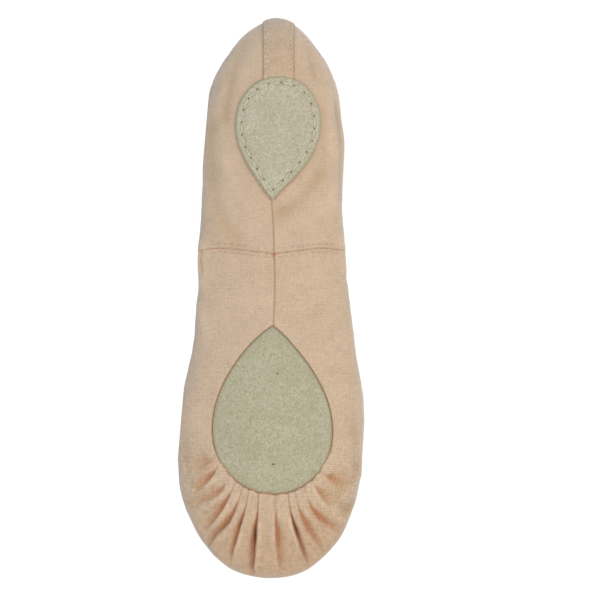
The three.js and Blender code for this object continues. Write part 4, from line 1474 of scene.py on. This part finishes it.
# Insole sock of cotton twill, over the inside of both patches
insole = {
    "columnGaps": {"side": 2.4, "toe": 1.6, "seam": 2.4, "tip": 2.4}, "rows": 40, "reach": 0.66,
    "depth": 1.75, "pleatRoom": 2.2, "roomAlong": (176, 200), "wave": 0.15, "waveSize": 22.0,
    "thickness": 0.0011, "bevel": 0.00025, "weld": 0.00002,
    "cotton": paint(222, 209, 190), "shade": paint(205, 188, 165), "twill": 0.42,
    "patchScale": 45.0, "patchAmount": 0.5, "bump": 0.0001, "bumpStrength": 0.6,
    "shader": {"Roughness": 0.95},
}


def planDistance(place, t):
    return np.linalg.norm((lastPoint(place, t) - lastPoint(place, 0 * t))[..., :2], axis=-1)


def makeTwill():
    material, tree, shader = newMaterial("cottonTwill")
    cut = put(tree, "ShaderNodeUVMap", uv_map="cut").outputs[0]
    sockets = {"Vector": cut, "Scale": insole["twill"], "Distortion": 0.6, "Detail": 1.0}
    slant = put(tree, "ShaderNodeTexWave", sockets, bands_direction="DIAGONAL").outputs["Fac"]
    base = blendColours(tree, slant, insole["shade"], insole["cotton"])
    tone = ramp(tree, patchTone(tree, insole), 0.8, 1.2, 0.0, 0.5)
    base = blendColours(tree, tone, base, insole["shade"])
    dressShader(tree, shader, base, insole, slant)
    return material


def makeInsole():
    places = columnPlaces(insole["columnGaps"])
    one = np.ones(len(places))
    reach = insole["reach"] * planDistance(places, one)
    edge = bisect(0 * places, one, lambda t: planDistance(places, t) < reach)
    levels = edge[:, None] * np.linspace(0, 1, insole["rows"])
    cloth = lastPoint(places[:, None], levels)[..., :2]
    room = insole["pleatRoom"] * smooth(*insole["roomAlong"], cloth[..., 0])
    relief = insole["wave"] * drift(cloth, insole["waveSize"], seeds["insole"])
    points = skin(places[:, None], levels, insole["depth"] + room, relief)
    piece = clothGrid("insoleSock", points, {"cut": cloth}, None, insole["weld"])
    faceOutward(piece, lambda centres, normals: normals[:, 1])
    thicken(piece, insole["thickness"], insole["bevel"], 1)
    piece.data.materials.append(makeTwill())
    sew(piece, "cotton_lining", "insole")


makeInsole()
print("insole laid")

# Floor and light
studio = {
    "floorSize": 1.6,
    "floorTone": paint(150, 150, 150),
    "floorRoughness": 0.9,
    "floorGlow": 0.55,
    "floorSeen": 0.8,
    "coolFloor": (0.84, 1.0, 1.22, 1),
    "cool": (0.94, 1.0, 1.08, 1),
    "world": 0.78,
    "worldSeen": 1.05,
    "lamps": [("softKey", (0.1, -2.1, 0.56), 15.8), ("backFill", (-0.9, 1.7, 1.2), 9.0)],
    "lampSize": 1.6,
    "warm": (1.0, 0.93, 0.85),
    "aim": (0, 0, 0.04),
}


def addStudio():
    bpy.ops.object.select_all(action="DESELECT")
    bpy.ops.mesh.primitive_plane_add(size=studio["floorSize"])
    floor = bpy.context.object
    floor.name = "floor"
    material, tree, shader = newMaterial("paleFloor")
    shader.inputs["Base Color"].default_value = studio["floorTone"]
    shader.inputs["Roughness"].default_value = studio["floorRoughness"]
    seen = put(tree, "ShaderNodeLightPath").outputs["Is Camera Ray"]
    tint = blendColours(tree, seen, studio["coolFloor"], (1, 1, 1, 1))
    glow = ramp(tree, seen, 0.0, 1.0, studio["floorGlow"], studio["floorSeen"])
    plug(tree, shader, {"Emission Color": tint, "Emission Strength": glow})
    floor.data.materials.append(material)

    world = bpy.data.worlds.new("studioWhite")
    world.use_nodes = True
    tree = world.node_tree
    lit = plug(tree, tree.nodes["Background"], {"Color": studio["cool"], "Strength": studio["world"]})
    seen = put(tree, "ShaderNodeBackground", {"Color": (1, 1, 1, 1), "Strength": studio["worldSeen"]})
    ray = put(tree, "ShaderNodeLightPath").outputs["Is Camera Ray"]
    mixed = put(tree, "ShaderNodeMixShader", {0: ray, 1: lit.outputs[0], 2: seen.outputs[0]})
    tree.links.new(mixed.outputs[0], tree.nodes["World Output"].inputs["Surface"])
    bpy.context.scene.world = world
    for name, spot, power in studio["lamps"]:
        addLamp(name, spot, power)


def addLamp(name, spot, power):
    bpy.ops.object.light_add(type="AREA", location=spot)
    lamp = bpy.context.object
    lamp.name = name
    lamp.data.shape = "DISK"
    lamp.data.size = studio["lampSize"]
    lamp.data.energy = power
    lamp.data.color = studio["warm"]
    toShoe = Vector(studio["aim"]) - Vector(spot)
    lamp.rotation_euler = toShoe.to_track_quat("-Z", "Y").to_euler()


addStudio()
print("studio lit")
